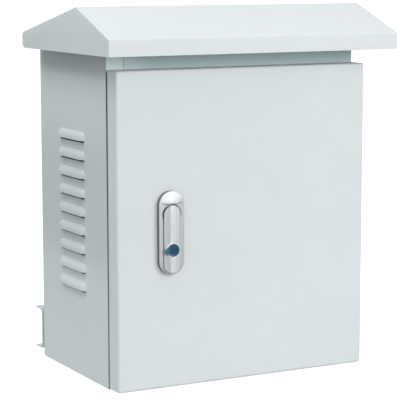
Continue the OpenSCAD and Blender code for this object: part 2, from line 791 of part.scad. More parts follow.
module plate_nuts() color(zinc) at_studs() translate([0, 0, -washer_t - 1.6 * m8_r]) hex_nut(m8_r, 1.6 * m8_r);

module body_earth_stud() color(zinc)
    to_back(body_earth_x, back_y - t - body_earth_len, earth_up) cylinder(r = m6_r, h = body_earth_len);

module body_earth_nut() color(zinc)
    to_back(body_earth_x, back_y - t - earth_grip - 1.6 * m6_r, earth_up) hex_nut(m6_r, 1.6 * m6_r);

// ---------------------------------------------------------------- rear rails

module rail_section() {
    y = rail_front_y + rail_t / 2;
    z = rail_h / 2 - rail_t / 2;
    strip([[rail_front_y + rail_d, z], [y, z], [y, -z], [rail_front_y + rail_d, -z]],
          rail_t, same(rail_bend_r + rail_t / 2, 2));
}

// Channel with pole notches in its flanges, and bolt, wall and band slots in its web
module rear_rail(length, z) translate([0, 0, z]) difference() {
    along_x(length) rail_section();
    translate([0, rail_front_y + rail_d, 0]) up_from(-rail_h, 2 * rail_h)
        polygon([[-pole_notch_w / 2, over], [-pole_notch_w / 2 + pole_notch_d, -pole_notch_d],
                 [pole_notch_w / 2 - pole_notch_d, -pole_notch_d], [pole_notch_w / 2, over]]);
    for (x = [-rail_bolt_x, rail_bolt_x])
        to_back(x, rail_front_y - over, 0) cylinder(r = m8_r + hole_play, h = rail_t + 2 * over);
    for (x = [-wall_slot_x, wall_slot_x]) to_back(x, rail_front_y - over, 0) linear_extrude(rail_t + 2 * over) {
        square([wall_slot_len - 2 * wall_slot_r, 2 * wall_slot_r], center = true);
        for (way = [-1, 1]) translate([way * (wall_slot_len / 2 - wall_slot_r), 0]) circle(r = wall_slot_r);
    }
    for (x = [-band_slot_x, band_slot_x])
        box([x - 2, x + 2], [rail_front_y - over, rail_front_y + rail_t + over], [-rail_h / 4, rail_h / 4]);
}

module lower_rail() color(light_grey) rear_rail(body_w, lower_rail_z);
module upper_rail() color(light_grey) rear_rail(upper_rail_len, upper_rail_z);

module at_rail_bolts() for (x = [-rail_bolt_x, rail_bolt_x], z = rail_zs)
    translate([x, rail_front_y + rail_t, z]) rotate([90, 0, 0]) children();

module rail_spacers() color(dark_rubber) at_rail_bolts()
    translate([0, 0, rail_t]) ring(m8_r + washer_play, 2.6 * m8_r, rail_spacer);

module rail_bolts() color(zinc) at_rail_bolts() hex_bolt(m8_r, rail_t + rail_spacer + t + 1.6 * m8_r + 2 * thread_over);

module rail_nuts() color(zinc) at_rail_bolts()
    translate([0, 0, rail_t + rail_spacer + t]) hex_nut(m8_r, 1.6 * m8_r);

// ---------------------------------------------------------------- cable entry

module gland_bolt_places() for (x = [-1, 1], y = [-1, 1])
    translate([x * gland_bolt_x, gland_y + y * gland_bolt_y, 0]) children();

module gland_plate() color(light_grey) difference() {
    translate([0, gland_y, gland_lo]) linear_extrude(gland_t) rounded_plate(gland_w, gland_d, 2 * bend_r);
    for (x = grommet_xs) translate([x, gland_y, gland_lo - over]) cylinder(r = grommet_hole_r, h = gland_t + 2 * over);
    gland_bolt_places() translate([0, 0, gland_lo - over]) cylinder(r = m4_r + hole_play, h = gland_t + 2 * over);
}

module gland_seal() color(foam) difference() {
    translate([0, gland_y, t]) linear_extrude(gland_seal_t) difference() {
        rounded_plate(gland_w, gland_d, 2 * bend_r);
        square([gland_w - 2 * gland_rim, gland_d - 2 * gland_rim], center = true);
    }
    gland_bolt_places() translate([0, 0, t - over]) cylinder(r = m4_r + hole_play, h = gland_seal_t + 2 * over);
}

module gland_bolts() color(zinc) gland_bolt_places()
    cylinder(r = m4_r, h = gland_lo + gland_t + 1.6 * m4_r + thread_over);

module gland_nuts() color(zinc) gland_bolt_places() translate([0, 0, gland_lo + gland_t]) hex_nut(m4_r, 1.6 * m4_r);

// Rubber ring that grips the edge of its hole between two lips
module cable_grommet(x) color(dark_rubber) translate([x, gland_y, 0]) rotate_extrude()
    polygon([[passage_r, 0], [grommet_r - grommet_edge, 0], [grommet_r, grommet_edge],
             [grommet_r, gland_lo], [grommet_hole_r, gland_lo], [grommet_hole_r, gland_hi],
             [grommet_r, gland_hi], [grommet_r - grommet_edge, gland_hi + grommet_lip_t],
             [passage_r + grommet_wall, gland_hi + grommet_top], [passage_r, gland_hi + grommet_top]]);

module cable_grommet_left() cable_grommet(grommet_xs[0]);
module cable_grommet_middle() cable_grommet(grommet_xs[1]);
module cable_grommet_right() cable_grommet(grommet_xs[2]);

// ---------------------------------------------------------------- hinges

// Through the lip: local Z runs from the leaf's face towards the opening
module leaf_screw_place(z) translate([seam_x + leaf_t, front_y - body_leaf_off - body_leaf_d / 2, z])
    rotate([0, -90, 0]) children();

module knuckle(z0, length, bore_r) translate([pivot_x, pivot_y, z0]) ring(bore_r, knuckle_r, length);

module body_leaf(z) color(zinc) difference() {
    union() {
        box([seam_x, seam_x + leaf_t], [front_y - body_leaf_off - body_leaf_d, front_y - body_leaf_off],
            [z - hinge_len / 2, z + hinge_len / 2]);
        difference() {
            box([seam_x + leaf_t - eps, pivot_x], [pivot_y - arm_t / 2, pivot_y + arm_t / 2],
                [z - knuckle_len / 2, z + knuckle_len / 2]);
            translate([pivot_x, pivot_y, z - hinge_len]) cylinder(r = knuckle_r - 1, h = 2 * hinge_len);
        }
        knuckle(z - knuckle_len / 2, knuckle_len, hinge_pin_r + pin_play);
    }
    for (dz = [-leaf_screw_dz, leaf_screw_dz])
        leaf_screw_place(z + dz) translate([0, 0, -eps]) flush_screw(m4_r + pin_play, leaf_t + over);
}

module lower_hinge_body_leaf() body_leaf(hinge_zs[0]);
module upper_hinge_body_leaf() body_leaf(hinge_zs[1]);

module at_leaf_screws() for (z = hinge_zs, dz = [-leaf_screw_dz, leaf_screw_dz]) leaf_screw_place(z + dz) children();

module hinge_leaf_screws() color(zinc) at_leaf_screws() flush_screw(m4_r, leaf_t + t + 1.6 * m4_r + thread_over);
module hinge_leaf_nuts() color(zinc) at_leaf_screws() translate([0, 0, leaf_t + t]) hex_nut(m4_r, 1.6 * m4_r);

// Pad on the door's sheet, web to the pivot, and a knuckle at each end
module door_leaf(z) color(zinc) difference() {
    union() {
        box([side_x - door_leaf_in - door_leaf_w, side_x - door_leaf_in], [door_in_y, door_in_y + leaf_t],
            [z - hinge_len / 2, z + hinge_len / 2]);
        difference() {
            box([pivot_x - arm_t / 2, pivot_x + arm_t / 2], [door_in_y + leaf_t - eps, pivot_y],
                [z - hinge_len / 2, z + hinge_len / 2]);
            translate([pivot_x, pivot_y, z - hinge_len]) cylinder(r = knuckle_r - 1, h = 2 * hinge_len);
            translate([pivot_x, pivot_y, z - knuckle_len / 2 - knuckle_gap])
                cylinder(r = knuckle_r + arm_gap, h = knuckle_len + 2 * knuckle_gap);
        }
        for (z0 = [z - hinge_len / 2, z + hinge_len / 2 - end_knuckle]) knuckle(z0, end_knuckle, hinge_pin_r);
    }
    for (dz = [-door_stud_dz, door_stud_dz])
        to_back(side_x - door_stud_in, door_in_y - over, z + dz) cylinder(r = m5_r + hole_play, h = leaf_t + 2 * over);
}

module lower_hinge_door_leaf() door_leaf(hinge_zs[0]);
module upper_hinge_door_leaf() door_leaf(hinge_zs[1]);

module hinge_pin(z) color(zinc) translate([pivot_x, pivot_y, z - hinge_len / 2]) {
    cylinder(r = hinge_pin_r, h = hinge_len + pin_head);
    translate([0, 0, -pin_head]) cylinder(r = hinge_pin_r + pin_head / 2, h = pin_head);
}

module lower_hinge_pin() hinge_pin(hinge_zs[0]);
module upper_hinge_pin() hinge_pin(hinge_zs[1]);

// ---------------------------------------------------------------- door

// Pan outside or inside: its plan, its side section and its face, each with rounded corners
module pan_form(inset, deep_to) {
    x = side_x - inset;
    z0 = door_lo + inset;
    z1 = door_hi - inset;
    y0 = door_front_y + inset;
    edge = bend_r + t - inset;
    corner = max(door_corner_r - inset, 0.5);
    intersection() {
        up_from(z0, z1 - z0) polygon(rounded([[-x, y0], [x, y0], [x, deep_to], [-x, deep_to]], [edge, edge, 0.1, 0.1]));
        along_x(2 * x) polygon(rounded([[y0, z0], [deep_to, z0], [deep_to, z1], [y0, z1]], [edge, 0.1, 0.1, edge]));
        translate([0, deep_to + over, (z0 + z1) / 2]) rotate([90, 0, 0])
            linear_extrude(deep_to - y0 + 2 * over) rounded_plate(2 * x, z1 - z0, corner);
    }
}

module door() color(light_grey) difference() {
    pan_form(0, door_back_y);
    pan_form(t, door_back_y + over);
    on_door(lock_x, rotor_z) translate([0, 0, -t - over]) cylinder(r = neck_r + door_hole_play, h = t + 2 * over);
    on_door(lock_x, cylinder_z) translate([0, 0, -t - over])
        cylinder(r = cylinder_r + door_hole_play, h = t + 2 * over);
    for (dz = [-lock_screw_dz, lock_screw_dz])
        on_door(lock_x, lock_z + dz) translate([0, 0, -t - over])
            cylinder(r = lock_boss_r + door_hole_play, h = t + 2 * over);
}

// Foam ring that meets the lips of the frame
module door_seal() color(foam) {
    x = lip_mid_x;
    z0 = opening_lo - t / 2;
    z1 = opening_hi + t / 2;
    translate([0, seal_tip_y, (z0 + z1) / 2]) rotate([90, 0, 0]) linear_extrude(gasket_t) difference() {
        rounded_plate(2 * x + gasket_w, z1 - z0 + gasket_w, gasket_w);
        rounded_plate(2 * x - gasket_w, z1 - z0 - gasket_w, gasket_w / 2);
    }
}

// Weld studs on the door: four for the hinges, one for the earth wire
module door_weld_studs() color(zinc) {
    for (z = hinge_zs, dz = [-door_stud_dz, door_stud_dz])
        to_back(side_x - door_stud_in, door_in_y, z + dz) cylinder(r = m5_r, h = leaf_t + 1.6 * m5_r + thread_over);
    to_back(door_earth_x, door_in_y, earth_up) cylinder(r = m6_r, h = door_earth_len);
}

module hinge_stud_nuts() color(zinc) for (z = hinge_zs, dz = [-door_stud_dz, door_stud_dz])
    to_back(side_x - door_stud_in, door_in_y + leaf_t, z + dz) hex_nut(m5_r, 1.6 * m5_r);

module door_earth_nut() color(zinc) to_back(door_earth_x, door_in_y + earth_grip, earth_up) hex_nut(m6_r, 1.6 * m6_r);

// ---------------------------------------------------------------- lock

// The lock's long outline with round ends
module lock_outline(inset) {
    for (z = [lock_low_z, lock_high_z]) translate([0, z - lock_z]) circle(r = lock_r - inset);
    square([lock_w - 2 * inset, lock_high_z - lock_low_z], center = true);
}

// Crown of the base: round across, with round ends, through the rim and the flat's edge
module lock_crown() {
    reach = lock_r * lock_r - pocket_r * pocket_r;
    deep = (reach - floor_h * floor_h + rim_h * rim_h) / (2 * (floor_h - rim_h));
    r = sqrt(lock_r * lock_r + (rim_h + deep) * (rim_h + deep));
    translate([0, 0, -deep]) {
        for (z = [lock_low_z, lock_high_z]) translate([0, z - lock_z, 0]) sphere(r = r, $fn = 96);
        translate([0, lock_low_z - lock_z, 0]) rotate([-90, 0, 0])
            cylinder(r = r, h = lock_high_z - lock_low_z, $fn = 96);
    }
}

module lock_base() color(chrome) on_door(lock_x, lock_z) difference() {
    union() {
        intersection() {
            translate([0, 0, lock_seal_t]) linear_extrude(floor_h - lock_seal_t) lock_outline(0);
            lock_crown();
        }
        dome_ball = (dome_r * dome_r + dome_rise * dome_rise) / (2 * dome_rise);
        intersection() {
            translate([0, rotor_up + pocket_r + dome_r - dome_in, floor_h + dome_rise - dome_ball]) sphere(r = dome_ball);
            translate([0, rotor_up + pocket_r + dome_r, lock_seal_t]) cylinder(r = lock_r, h = far);
            translate([0, 0, lock_seal_t]) linear_extrude(far) lock_outline(0);
        }
        translate([0, rotor_up, neck_end]) cylinder(r = neck_r, h = lock_seal_t - neck_end + eps);
        for (way = [-1, 1]) translate([0, way * lock_screw_dz, -t])
            cylinder(r = lock_boss_r, h = lock_seal_t + t + eps);
    }
    translate([0, rotor_up, pocket_floor]) cylinder(r = pocket_r, h = far);
    translate([0, rotor_up, neck_end - over]) cylinder(r = spindle_r + pin_play, h = far);
    translate([0, -cylinder_down, -over]) cylinder(r = cylinder_r, h = far);
    for (way = [-1, 1]) translate([0, way * lock_screw_dz, -t - over])
        cylinder(r = m4_r, h = t + over + lock_screw_deep + over / 2);
}

module lock_seal() color(dark_rubber) on_door(lock_x, lock_z) difference() {
    linear_extrude(lock_seal_t) lock_outline(lock_seal_in);
    translate([0, rotor_up, -over]) cylinder(r = neck_r, h = far);
    translate([0, -cylinder_down, -over]) cylinder(r = cylinder_r, h = far);
    for (way = [-1, 1]) translate([0, way * lock_screw_dz, -over]) cylinder(r = lock_boss_r, h = far);
}

module lock_clamp() color(zinc) on_door(lock_x, lock_z) difference() {
    translate([0, 0, clamp_lo]) linear_extrude(clamp_t) lock_outline(clamp_inset);
    translate([0, rotor_up, clamp_lo - over]) cylinder(r = neck_r + washer_play, h = clamp_t + 2 * over);
    translate([0, -cylinder_down, clamp_lo - over]) cylinder(r = cylinder_r + washer_play, h = clamp_t + 2 * over);
    for (way = [-1, 1]) translate([0, way * lock_screw_dz, clamp_lo - over])
        cylinder(r = m4_r + washer_play, h = clamp_t + 2 * over);
}

module lock_clamp_screws() color(zinc) on_door(lock_x, lock_z)
    for (way = [-1, 1]) translate([0, way * lock_screw_dz, clamp_lo]) pan_screw(m4_r, lock_screw_deep - clamp_lo);

// Spindle, head disc in the pocket, and the lug that carries the handle
module rotor() color(zinc) on_door(lock_x, rotor_z) difference() {
    union() {
        translate([0, 0, disc_lo]) cylinder(r = handle_r + disc_more, h = disc_t);
        translate([0, 0, cam_h]) cylinder(r = spindle_r, h = disc_lo - cam_h + eps);
        translate([0, 0, cam_h - cam_t + clip_play])
            linear_extrude(cam_t) square([spindle_square, spindle_square], center = true);
        translate([-lug_half, lift_up - eye_r, disc_hi - eps]) cube([2 * lug_half, 2 * eye_r, pin_h - disc_hi]);
        translate([-lug_half, lift_up, pin_h]) rotate([0, 90, 0]) cylinder(r = eye_r, h = 2 * lug_half);
    }
    translate([-lug_half - over, lift_up, pin_h]) rotate([0, 90, 0])
        cylinder(r = cross_pin_r + pin_play, h = 2 * (lug_half + over));
    translate([0, 0, cam_h - cam_t - over]) cylinder(r = m4_r, h = cam_t + over + cam_screw_len);
    translate([0, 0, neck_end - clip_t - 2 * clip_play])
        ring(spindle_r - clip_t, spindle_r + over, clip_t + 2 * clip_play);
}

module rotor_clip() color(zinc) on_door(lock_x, rotor_z) translate([0, 0, neck_end - clip_t - clip_play])
    ring(spindle_r - clip_t, neck_r, clip_t);

module latch_cam() color(zinc) on_door(lock_x, rotor_z) translate([0, 0, cam_h - cam_t]) linear_extrude(cam_t) difference() {
    union() {
        circle(r = cam_w / 2);
        translate([-cam_len + cam_w / 4, -cam_w / 2]) square([cam_len - cam_w / 4, cam_w]);
        translate([-cam_len, -cam_w / 4]) square([cam_w, cam_w / 2]);
        for (way = [-1, 1]) translate([-cam_len + cam_w / 4, way * cam_w / 4]) circle(r = cam_w / 4);
    }
    square([spindle_square, spindle_square], center = true);
}

module cam_washer() color(zinc) on_door(lock_x, rotor_z)
    translate([0, 0, cam_h - cam_t - washer_t]) ring(m4_r + washer_play, cam_w / 2 - clip_t / 2, washer_t);

module cam_screw() color(zinc) on_door(lock_x, rotor_z)
    translate([0, 0, cam_h - cam_t - washer_t]) hex_bolt(m4_r, washer_t + cam_t + cam_screw_len);

// Key cylinder through the base, held by a ring nut
module cylinder_housing() color(chrome) on_door(lock_x, cylinder_z) difference() {
    translate([0, 0, housing_end]) cylinder(r = cylinder_r, h = floor_h - housing_end);
    translate([0, 0, housing_end - over]) cylinder(r = plug_r + plug_play, h = far);
    translate([0, 0, floor_h - plug_head_t - plug_play]) cylinder(r = plug_r + plug_head_more + plug_play, h = far);
}

module cylinder_nut() color(zinc) on_door(lock_x, cylinder_z) translate([0, 0, clamp_lo - ring_nut_t]) difference() {
    hex_prism(ring_nut_r, ring_nut_t);
    translate([0, 0, -over]) cylinder(r = cylinder_r, h = ring_nut_t + 2 * over);
}

module key_plug() color(chrome) on_door(lock_x, cylinder_z) difference() {
    union() {
        translate([0, 0, plug_end]) cylinder(r = plug_r, h = floor_h - plug_head_t - plug_end);
        translate([0, 0, floor_h - plug_head_t]) cylinder(r = plug_r + plug_head_more, h = plug_head_t);
    }
    box([-keyway_w / 2, keyway_w / 2], [-keyway_h / 2, keyway_h / 2], [floor_h - keyway_d, floor_h + over]);
    translate([0, 0, plug_end - over]) cylinder(r = m4_r, h = over + cam_screw_len);
}

module plug_cam() color(zinc) on_door(lock_x, cylinder_z) translate([0, 0, plug_end - tongue_t]) linear_extrude(tongue_t) difference() {
    union() {
        circle(r = plug_r + neck_wall / 2);
        translate([-tongue_w / 2, 0]) square([tongue_w, tongue_len]);
    }
    circle(r = m4_r + washer_play);
}

module plug_cam_screw() color(zinc) on_door(lock_x, cylinder_z) translate([0, 0, plug_end - tongue_t])
    pan_screw(m4_r, tongue_t + cam_screw_len - over);

// Outline of the handle about the rotor axis: round head, long sides, end concentric with the base's
module handle_outline() intersection() {
    union() {
        circle(r = handle_r);
        translate([-handle_r, -lock_h]) square([handle_w, lock_h]);
    }
    union() {
        translate([0, lock_low_z - rotor_z]) circle(r = lock_r - handle_inset, $fn = 96);
        translate([-handle_w, lock_low_z - rotor_z]) square([2 * handle_w, lock_h]);
    }
}

// Two round pads under the dust cap, grown by more
module cap_outline(more) {
    circle(r = cap_r + more);
    translate([-lobe_off, cap_lobe_z - cylinder_z]) circle(r = lobe_r + more);
}

module handle() color(chrome) {
    crown_ball = (handle_r * handle_r + handle_crown * handle_crown) / (2 * handle_crown);
    difference() {
        union() {
            on_door(lock_x, rotor_z) intersection() {
                translate([0, 0, under_h]) linear_extrude(far) handle_outline();
                translate([0, -lock_h, crown_h - crown_ball]) rotate([-90, 0, 0])
                    cylinder(r = crown_ball, h = 2 * lock_h, $fn = 96);
            }
            on_door(lock_x, cylinder_z) translate([0, 0, under_h + handle_wall / 2])
                linear_extrude(boss_top - under_h - handle_wall / 2) intersection() {
                    cap_outline(pad_border);
                    square([handle_w, lock_h], center = true);
                }
            on_door(lock_x, rotor_z) translate([-ear_out, lift_up, pin_h]) rotate([0, 90, 0])
                cylinder(r = eye_r, h = 2 * ear_out);
        }
        on_door(lock_x, rotor_z) {
            box([-lug_half - lug_play, lug_half + lug_play], [lift_up - eye_r - lug_slot, handle_r + over],
                [pin_h - eye_r - over, pin_h + eye_r + lug_play]);
            translate([-handle_r + cross_pin_in, lift_up, pin_h]) rotate([0, 90, 0])
                cylinder(r = cross_pin_r, h = handle_w - 2 * cross_pin_in);
        }
        on_door(lock_x, cylinder_z) translate([0, 0, under_h - over])
            cylinder(r = plug_r + pad_border, h = far);
        on_door(cap_lobe_x, cap_lobe_z) translate([0, 0, boss_top - cap_pin_deep]) cylinder(r = cap_pin_r, h = far);
    }
}

module handle_cross_pin() color(zinc) on_door(lock_x, rotor_z)
    translate([-handle_r + cross_pin_in, lift_up, pin_h]) rotate([0, 90, 0])
        cylinder(r = cross_pin_r, h = handle_w - 2 * cross_pin_in);

module dust_cap() color(cap_blue) on_door(lock_x, cylinder_z) difference() {
    translate([0, 0, cap_lo]) linear_extrude(cap_t) cap_outline(0);
    translate([-lobe_off, cap_lobe_z - cylinder_z, cap_lo - over]) cylinder(r = cap_pin_r + pin_play, h = cap_t + 2 * over);
}

module dust_cap_pin() color(cap_blue) on_door(cap_lobe_x, cap_lobe_z) {
    translate([0, 0, boss_top - cap_pin_deep]) cylinder(r = cap_pin_r, h = cap_pin_deep + 2 * cap_gap + cap_t);
    translate([0, 0, cap_lo + cap_t + cap_gap]) cylinder(r1 = 1.8 * cap_pin_r, r2 = 1.3 * cap_pin_r, h = cap_gap * 2.5);
}

// ---------------------------------------------------------------- nodes

body_shell();
top_panel();
bottom_panel();
rain_hood();
hood_saddle_left();
hood_saddle_right();
hood_bolts();
hood_nuts();
mounting_plate();
plate_studs();
plate_washers();
plate_nuts();
lower_rail();
upper_rail();
rail_spacers();
rail_bolts();
rail_nuts();
gland_plate();
gland_seal();
gland_bolts();
gland_nuts();
cable_grommet_left();
cable_grommet_middle();
cable_grommet_right();
body_earth_stud();
body_earth_nut();
lower_hinge_body_leaf();
upper_hinge_body_leaf();
hinge_leaf_screws();
hinge_leaf_nuts();
door();
door_seal();
lower_hinge_door_leaf();
upper_hinge_door_leaf();
lower_hinge_pin();
upper_hinge_pin();
door_weld_studs();
hinge_stud_nuts();
door_earth_nut();
lock_base();
lock_seal();
lock_clamp();
lock_clamp_screws();
cylinder_housing();
cylinder_nut();
key_plug();
plug_cam();
plug_cam_screw();
rotor();
rotor_clip();
latch_cam();
cam_washer();
cam_screw();
handle();
handle_cross_pin();
dust_cap();
dust_cap_pin();
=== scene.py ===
"""Outdoor electrical box: finished surfaces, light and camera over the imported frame.

Pieces are made in millimetres in the row frame (+Z up, door towards -Y) and become metres when
a mesh is made. Finishes work in metres, as Object coordinates do, unless they say otherwise.
Shapes are numpy grids; finishes are node materials.
"""

import json
import logging
import math
from dataclasses import dataclass
from enum import Enum
from typing import Optional, Sequence, Union

import bmesh
import bpy
import numpy as np
from mathutils import Matrix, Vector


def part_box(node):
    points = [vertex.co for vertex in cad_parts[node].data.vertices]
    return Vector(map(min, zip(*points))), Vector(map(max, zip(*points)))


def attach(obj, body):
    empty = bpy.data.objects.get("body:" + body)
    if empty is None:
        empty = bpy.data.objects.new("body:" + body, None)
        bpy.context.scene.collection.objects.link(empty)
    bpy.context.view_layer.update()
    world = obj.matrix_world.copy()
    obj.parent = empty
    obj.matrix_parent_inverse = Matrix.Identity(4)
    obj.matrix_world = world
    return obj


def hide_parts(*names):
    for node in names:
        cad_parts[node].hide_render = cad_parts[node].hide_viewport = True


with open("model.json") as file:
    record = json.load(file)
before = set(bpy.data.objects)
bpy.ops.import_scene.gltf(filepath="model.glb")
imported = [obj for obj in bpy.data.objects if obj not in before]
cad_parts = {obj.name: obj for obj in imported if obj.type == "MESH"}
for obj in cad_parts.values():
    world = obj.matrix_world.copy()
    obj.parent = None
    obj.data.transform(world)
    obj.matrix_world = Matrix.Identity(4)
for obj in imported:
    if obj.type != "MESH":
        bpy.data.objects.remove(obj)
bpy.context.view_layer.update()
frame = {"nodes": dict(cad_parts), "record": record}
LOG = logging.getLogger("electrical_box")
Array = np.ndarray
MM = 1000.0  # millimetres in a metre
SAME = 0.01  # millimetres within which two heights or places are one
TINY = 1e-7  # metres under which an edge has no length
DOOR_FACE = -151.0  # depth of the door's outer face, in millimetres


# ---------------------------------------------------------------- shader maths


class Value:
    """A shader socket that can be used in Python sums, products and powers."""

    def __init__(self, tree: "Nodes", socket: bpy.types.NodeSocket) -> None:
        """Keeps the node tree and the output socket."""
        self.tree, self.socket = tree, socket

    def _math(self, operation: str, a: "Term", b: "Term" = 0.0) -> "Value":
        """Adds one Math node.

        Args:
            operation: Blender's name of the operation.
            a: First operand.
            b: Second operand.
        Returns:
            The node's result.
        """
        return self.tree.add("ShaderNodeMath", {"operation": operation}, {0: a, 1: b})

    def __add__(self, other: "Term") -> "Value":
        """Sum."""
        return self._math("ADD", self, other)

    def __sub__(self, other: "Term") -> "Value":
        """Difference."""
        return self._math("SUBTRACT", self, other)

    def __rsub__(self, other: "Term") -> "Value":
        """Difference with this value taken away."""
        return self._math("SUBTRACT", other, self)

    def __mul__(self, other: "Term") -> "Value":
        """Product."""
        return self._math("MULTIPLY", self, other)

    def __truediv__(self, other: "Term") -> "Value":
        """Quotient."""
        return self._math("DIVIDE", self, other)

    def __pow__(self, other: "Term") -> "Value":
        """Power."""
        return self._math("POWER", self, other)

    __radd__, __rmul__ = __add__, __mul__

    def __abs__(self) -> "Value":
        """Size without its sign."""
        return self._math("ABSOLUTE", self)

    def __gt__(self, other: "Term") -> "Value":
        """1 where the value is over the other, and 0 elsewhere."""
        return self._math("GREATER_THAN", self, other)

    def clamp(self, low: float, high: float) -> "Value":
        """This value kept between two limits."""
        return self._math("MINIMUM", self._math("MAXIMUM", self, low), high)

    def step(self, low: float, high: float) -> "Value":
        """A smooth rise: 3 t^2 - 2 t^3, where t is the share of the way from low to high.

        Args:
            low: Where it is 0.
            high: Where it is 1.
        Returns:
            The share.
        """
        return self.tree.add(
            "ShaderNodeMapRange",
            {"interpolation_type": "SMOOTHSTEP"},
            {"Value": self, "From Min": low, "From Max": high},
        )


Term = Union[Value, float]
Colour = tuple[float, float, float]
Paint = Union[Value, Sequence[float]]
Span = tuple[float, float]
Circle = tuple[float, float, float]
WHITE = (1.0, 1.0, 1.0, 1.0)


class Nodes:
    """A material's node tree with one way to add any node."""

    def __init__(self, name: str, tree: Optional[bpy.types.NodeTree] = None) -> None:
        """Starts an empty tree: a new material's, or the one given.

        Args:
            name: The material's name.
            tree: A tree to fill in place of a new material's.
        """
        if tree is None:
            self.material = bpy.data.materials.new(name)
            self.material.use_nodes = True
            tree = self.material.node_tree
        self.nodes, self.links = tree.nodes, tree.links
        self.nodes.clear()
        self.place = self.add("ShaderNodeTexCoord", {}, {}, "Object")

    def add(self, kind: str, settings: dict, inputs: dict, output: Union[int, str] = 0) -> Value:
        """Adds a node, sets it and links it.

        Args:
            kind: Node type name.
            settings: Node properties; "stops" is a ramp's list of (position, colour).
            inputs: Socket name or number to a Value or a plain value.
            output: The output socket that is returned.
        Returns:
            The chosen output as a Value.
        """
        node = self.nodes.new(kind)
        for name, value in settings.items():
            if name == "stops":
                ramp = node.color_ramp.elements
                while len(ramp) < len(value):
                    ramp.new(1.0)
                for element, (position, colour) in zip(ramp, value):
                    element.position, element.color = position, colour
            else:
                setattr(node, name, value)
        for name, value in inputs.items():
            if isinstance(value, Value):
                self.links.new(value.socket, node.inputs[name])
            else:
                node.inputs[name].default_value = value
        return Value(self, node.outputs[output])

    def stretched(self, scale: Sequence[float]) -> Value:
        """Object coordinates with each axis scaled."""
        return self.add("ShaderNodeMapping", {}, {"Vector": self.place, "Scale": tuple(scale)})

    def noise(self, scale: float, detail: float = 2.0, where: Optional[Value] = None) -> Value:
        """Fractal noise from 0 to 1, with `scale` cells a metre."""
        inputs = {"Vector": where or self.place, "Scale": scale, "Detail": detail}
        return self.add("ShaderNodeTexNoise", {}, inputs, "Fac")

    def cells(self, scale: float, feature: str = "F1", output: str = "Distance") -> Value:
        """Voronoi cells, `scale` of them a metre."""
        inputs = {"Vector": self.place, "Scale": scale}
        return self.add("ShaderNodeTexVoronoi", {"feature": feature}, inputs, output)

    def axis(self, name: str) -> Value:
        """One object coordinate in metres."""
        return self.add("ShaderNodeSeparateXYZ", {}, {0: self.place}, name)

    def facing(self, name: str) -> Value:
        """One component of the surface's true normal."""
        normal = self.add("ShaderNodeNewGeometry", {}, {}, "True Normal")
        return self.add("ShaderNodeSeparateXYZ", {}, {0: normal}, name)

    def blend(self, factor: Term, low: Paint, high: Paint) -> Value:
        """Mixes two colours.

        Args:
            factor: 0 gives low and 1 gives high.
            low: Colour or link at 0.
            high: Colour or link at 1.
        Returns:
            The mixed colour.
        """
        ends = [c if isinstance(c, Value) else (*c[:3], 1.0) for c in (low, high)]
        inputs = {"Factor": factor, 6: ends[0], 7: ends[1]}
        return self.add("ShaderNodeMix", {"data_type": "RGBA"}, inputs, 2)

    def bump(self, height: Value, depth_mm: float, strength: float = 1.0) -> Value:
        """Turns a 0 to 1 height into a bumped normal of that depth."""
        inputs = {"Height": height, "Distance": depth_mm / MM, "Strength": strength}
        return self.add("ShaderNodeBump", {}, inputs, "Normal")

    def finish(self, sockets: dict) -> bpy.types.Material:
        """Adds the surface shader.

        Args:
            sockets: Principled BSDF inputs by name.
        Returns:
            The finished material.
        """
        shader = self.add("ShaderNodeBsdfPrincipled", {}, sockets, "BSDF")
        self.add_output(shader)
        return self.material

    def add_output(self, shader: Value) -> None:
        """Links the shader to the material's output."""
        out = self.nodes.new("ShaderNodeOutputMaterial")
        self.links.new(shader.socket, out.inputs["Surface"])


def scaled(colour: Sequence[float], by: float) -> tuple[float, ...]:
    """A colour made lighter or darker."""
    return tuple(min(1.0, c * by) for c in colour[:3])


# ---------------------------------------------------------------- finishes


@dataclass(frozen=True)
class PowderCoat:
    """Polyester powder coat: orange-peel skin, faint tone drift and a little dust low down."""

    name: str
    colour: Colour
    roughness: float = 0.50
    peel_mm: float = 0.035
    peel_per_m: float = 420.0
    dust: float = 0.05
    dust_colour: Colour = (0.50, 0.48, 0.43)
    dust_height: Span = (-0.01, 0.10)

    def marks_and_painted_light(self, n: Nodes, tone: Value) -> Value:
        """Marks and painted light or shade in one place: a plain coat has none."""
        return tone

    def build(self) -> bpy.types.Material:
        """Builds the material: drift and grain set the tone, and dust lies low and on ledges.

        Returns:
            The node material.
        """
        n = Nodes(self.name)
        drift = n.noise(3.2, 3.0) * 0.65 + n.noise(17.0, 2.0) * 0.35
        grain = n.noise(2600.0, 1.0)
        tone = n.blend(drift.step(0.30, 0.72), scaled(self.colour, 0.972), scaled(self.colour, 1.012))
        tone = n.blend(grain.step(0.35, 0.75) * 0.25, tone, scaled(self.colour, 0.955))
        low = 1.0 - n.axis("Z").step(*self.dust_height)
        settled = (low + n.facing("Z").step(0.6, 1.0) * 0.6) * n.noise(38.0, 4.0).step(0.42, 0.75)
        tone = self.marks_and_painted_light(n, n.blend(settled * self.dust, tone, self.dust_colour))
        rough = drift * 0.08 + grain * 0.06 + settled * 0.10 + (self.roughness - 0.07)
        peel = n.noise(self.peel_per_m, 2.0) * 0.75 + grain * 0.25
        return n.finish(
            {
                "Base Color": tone,
                "Roughness": rough,
                "Normal": n.bump(peel, self.peel_mm),
                "Coat Weight": 0.06,
                "Coat Roughness": 0.25,
                "Specular IOR Level": 0.42,
            }
        )


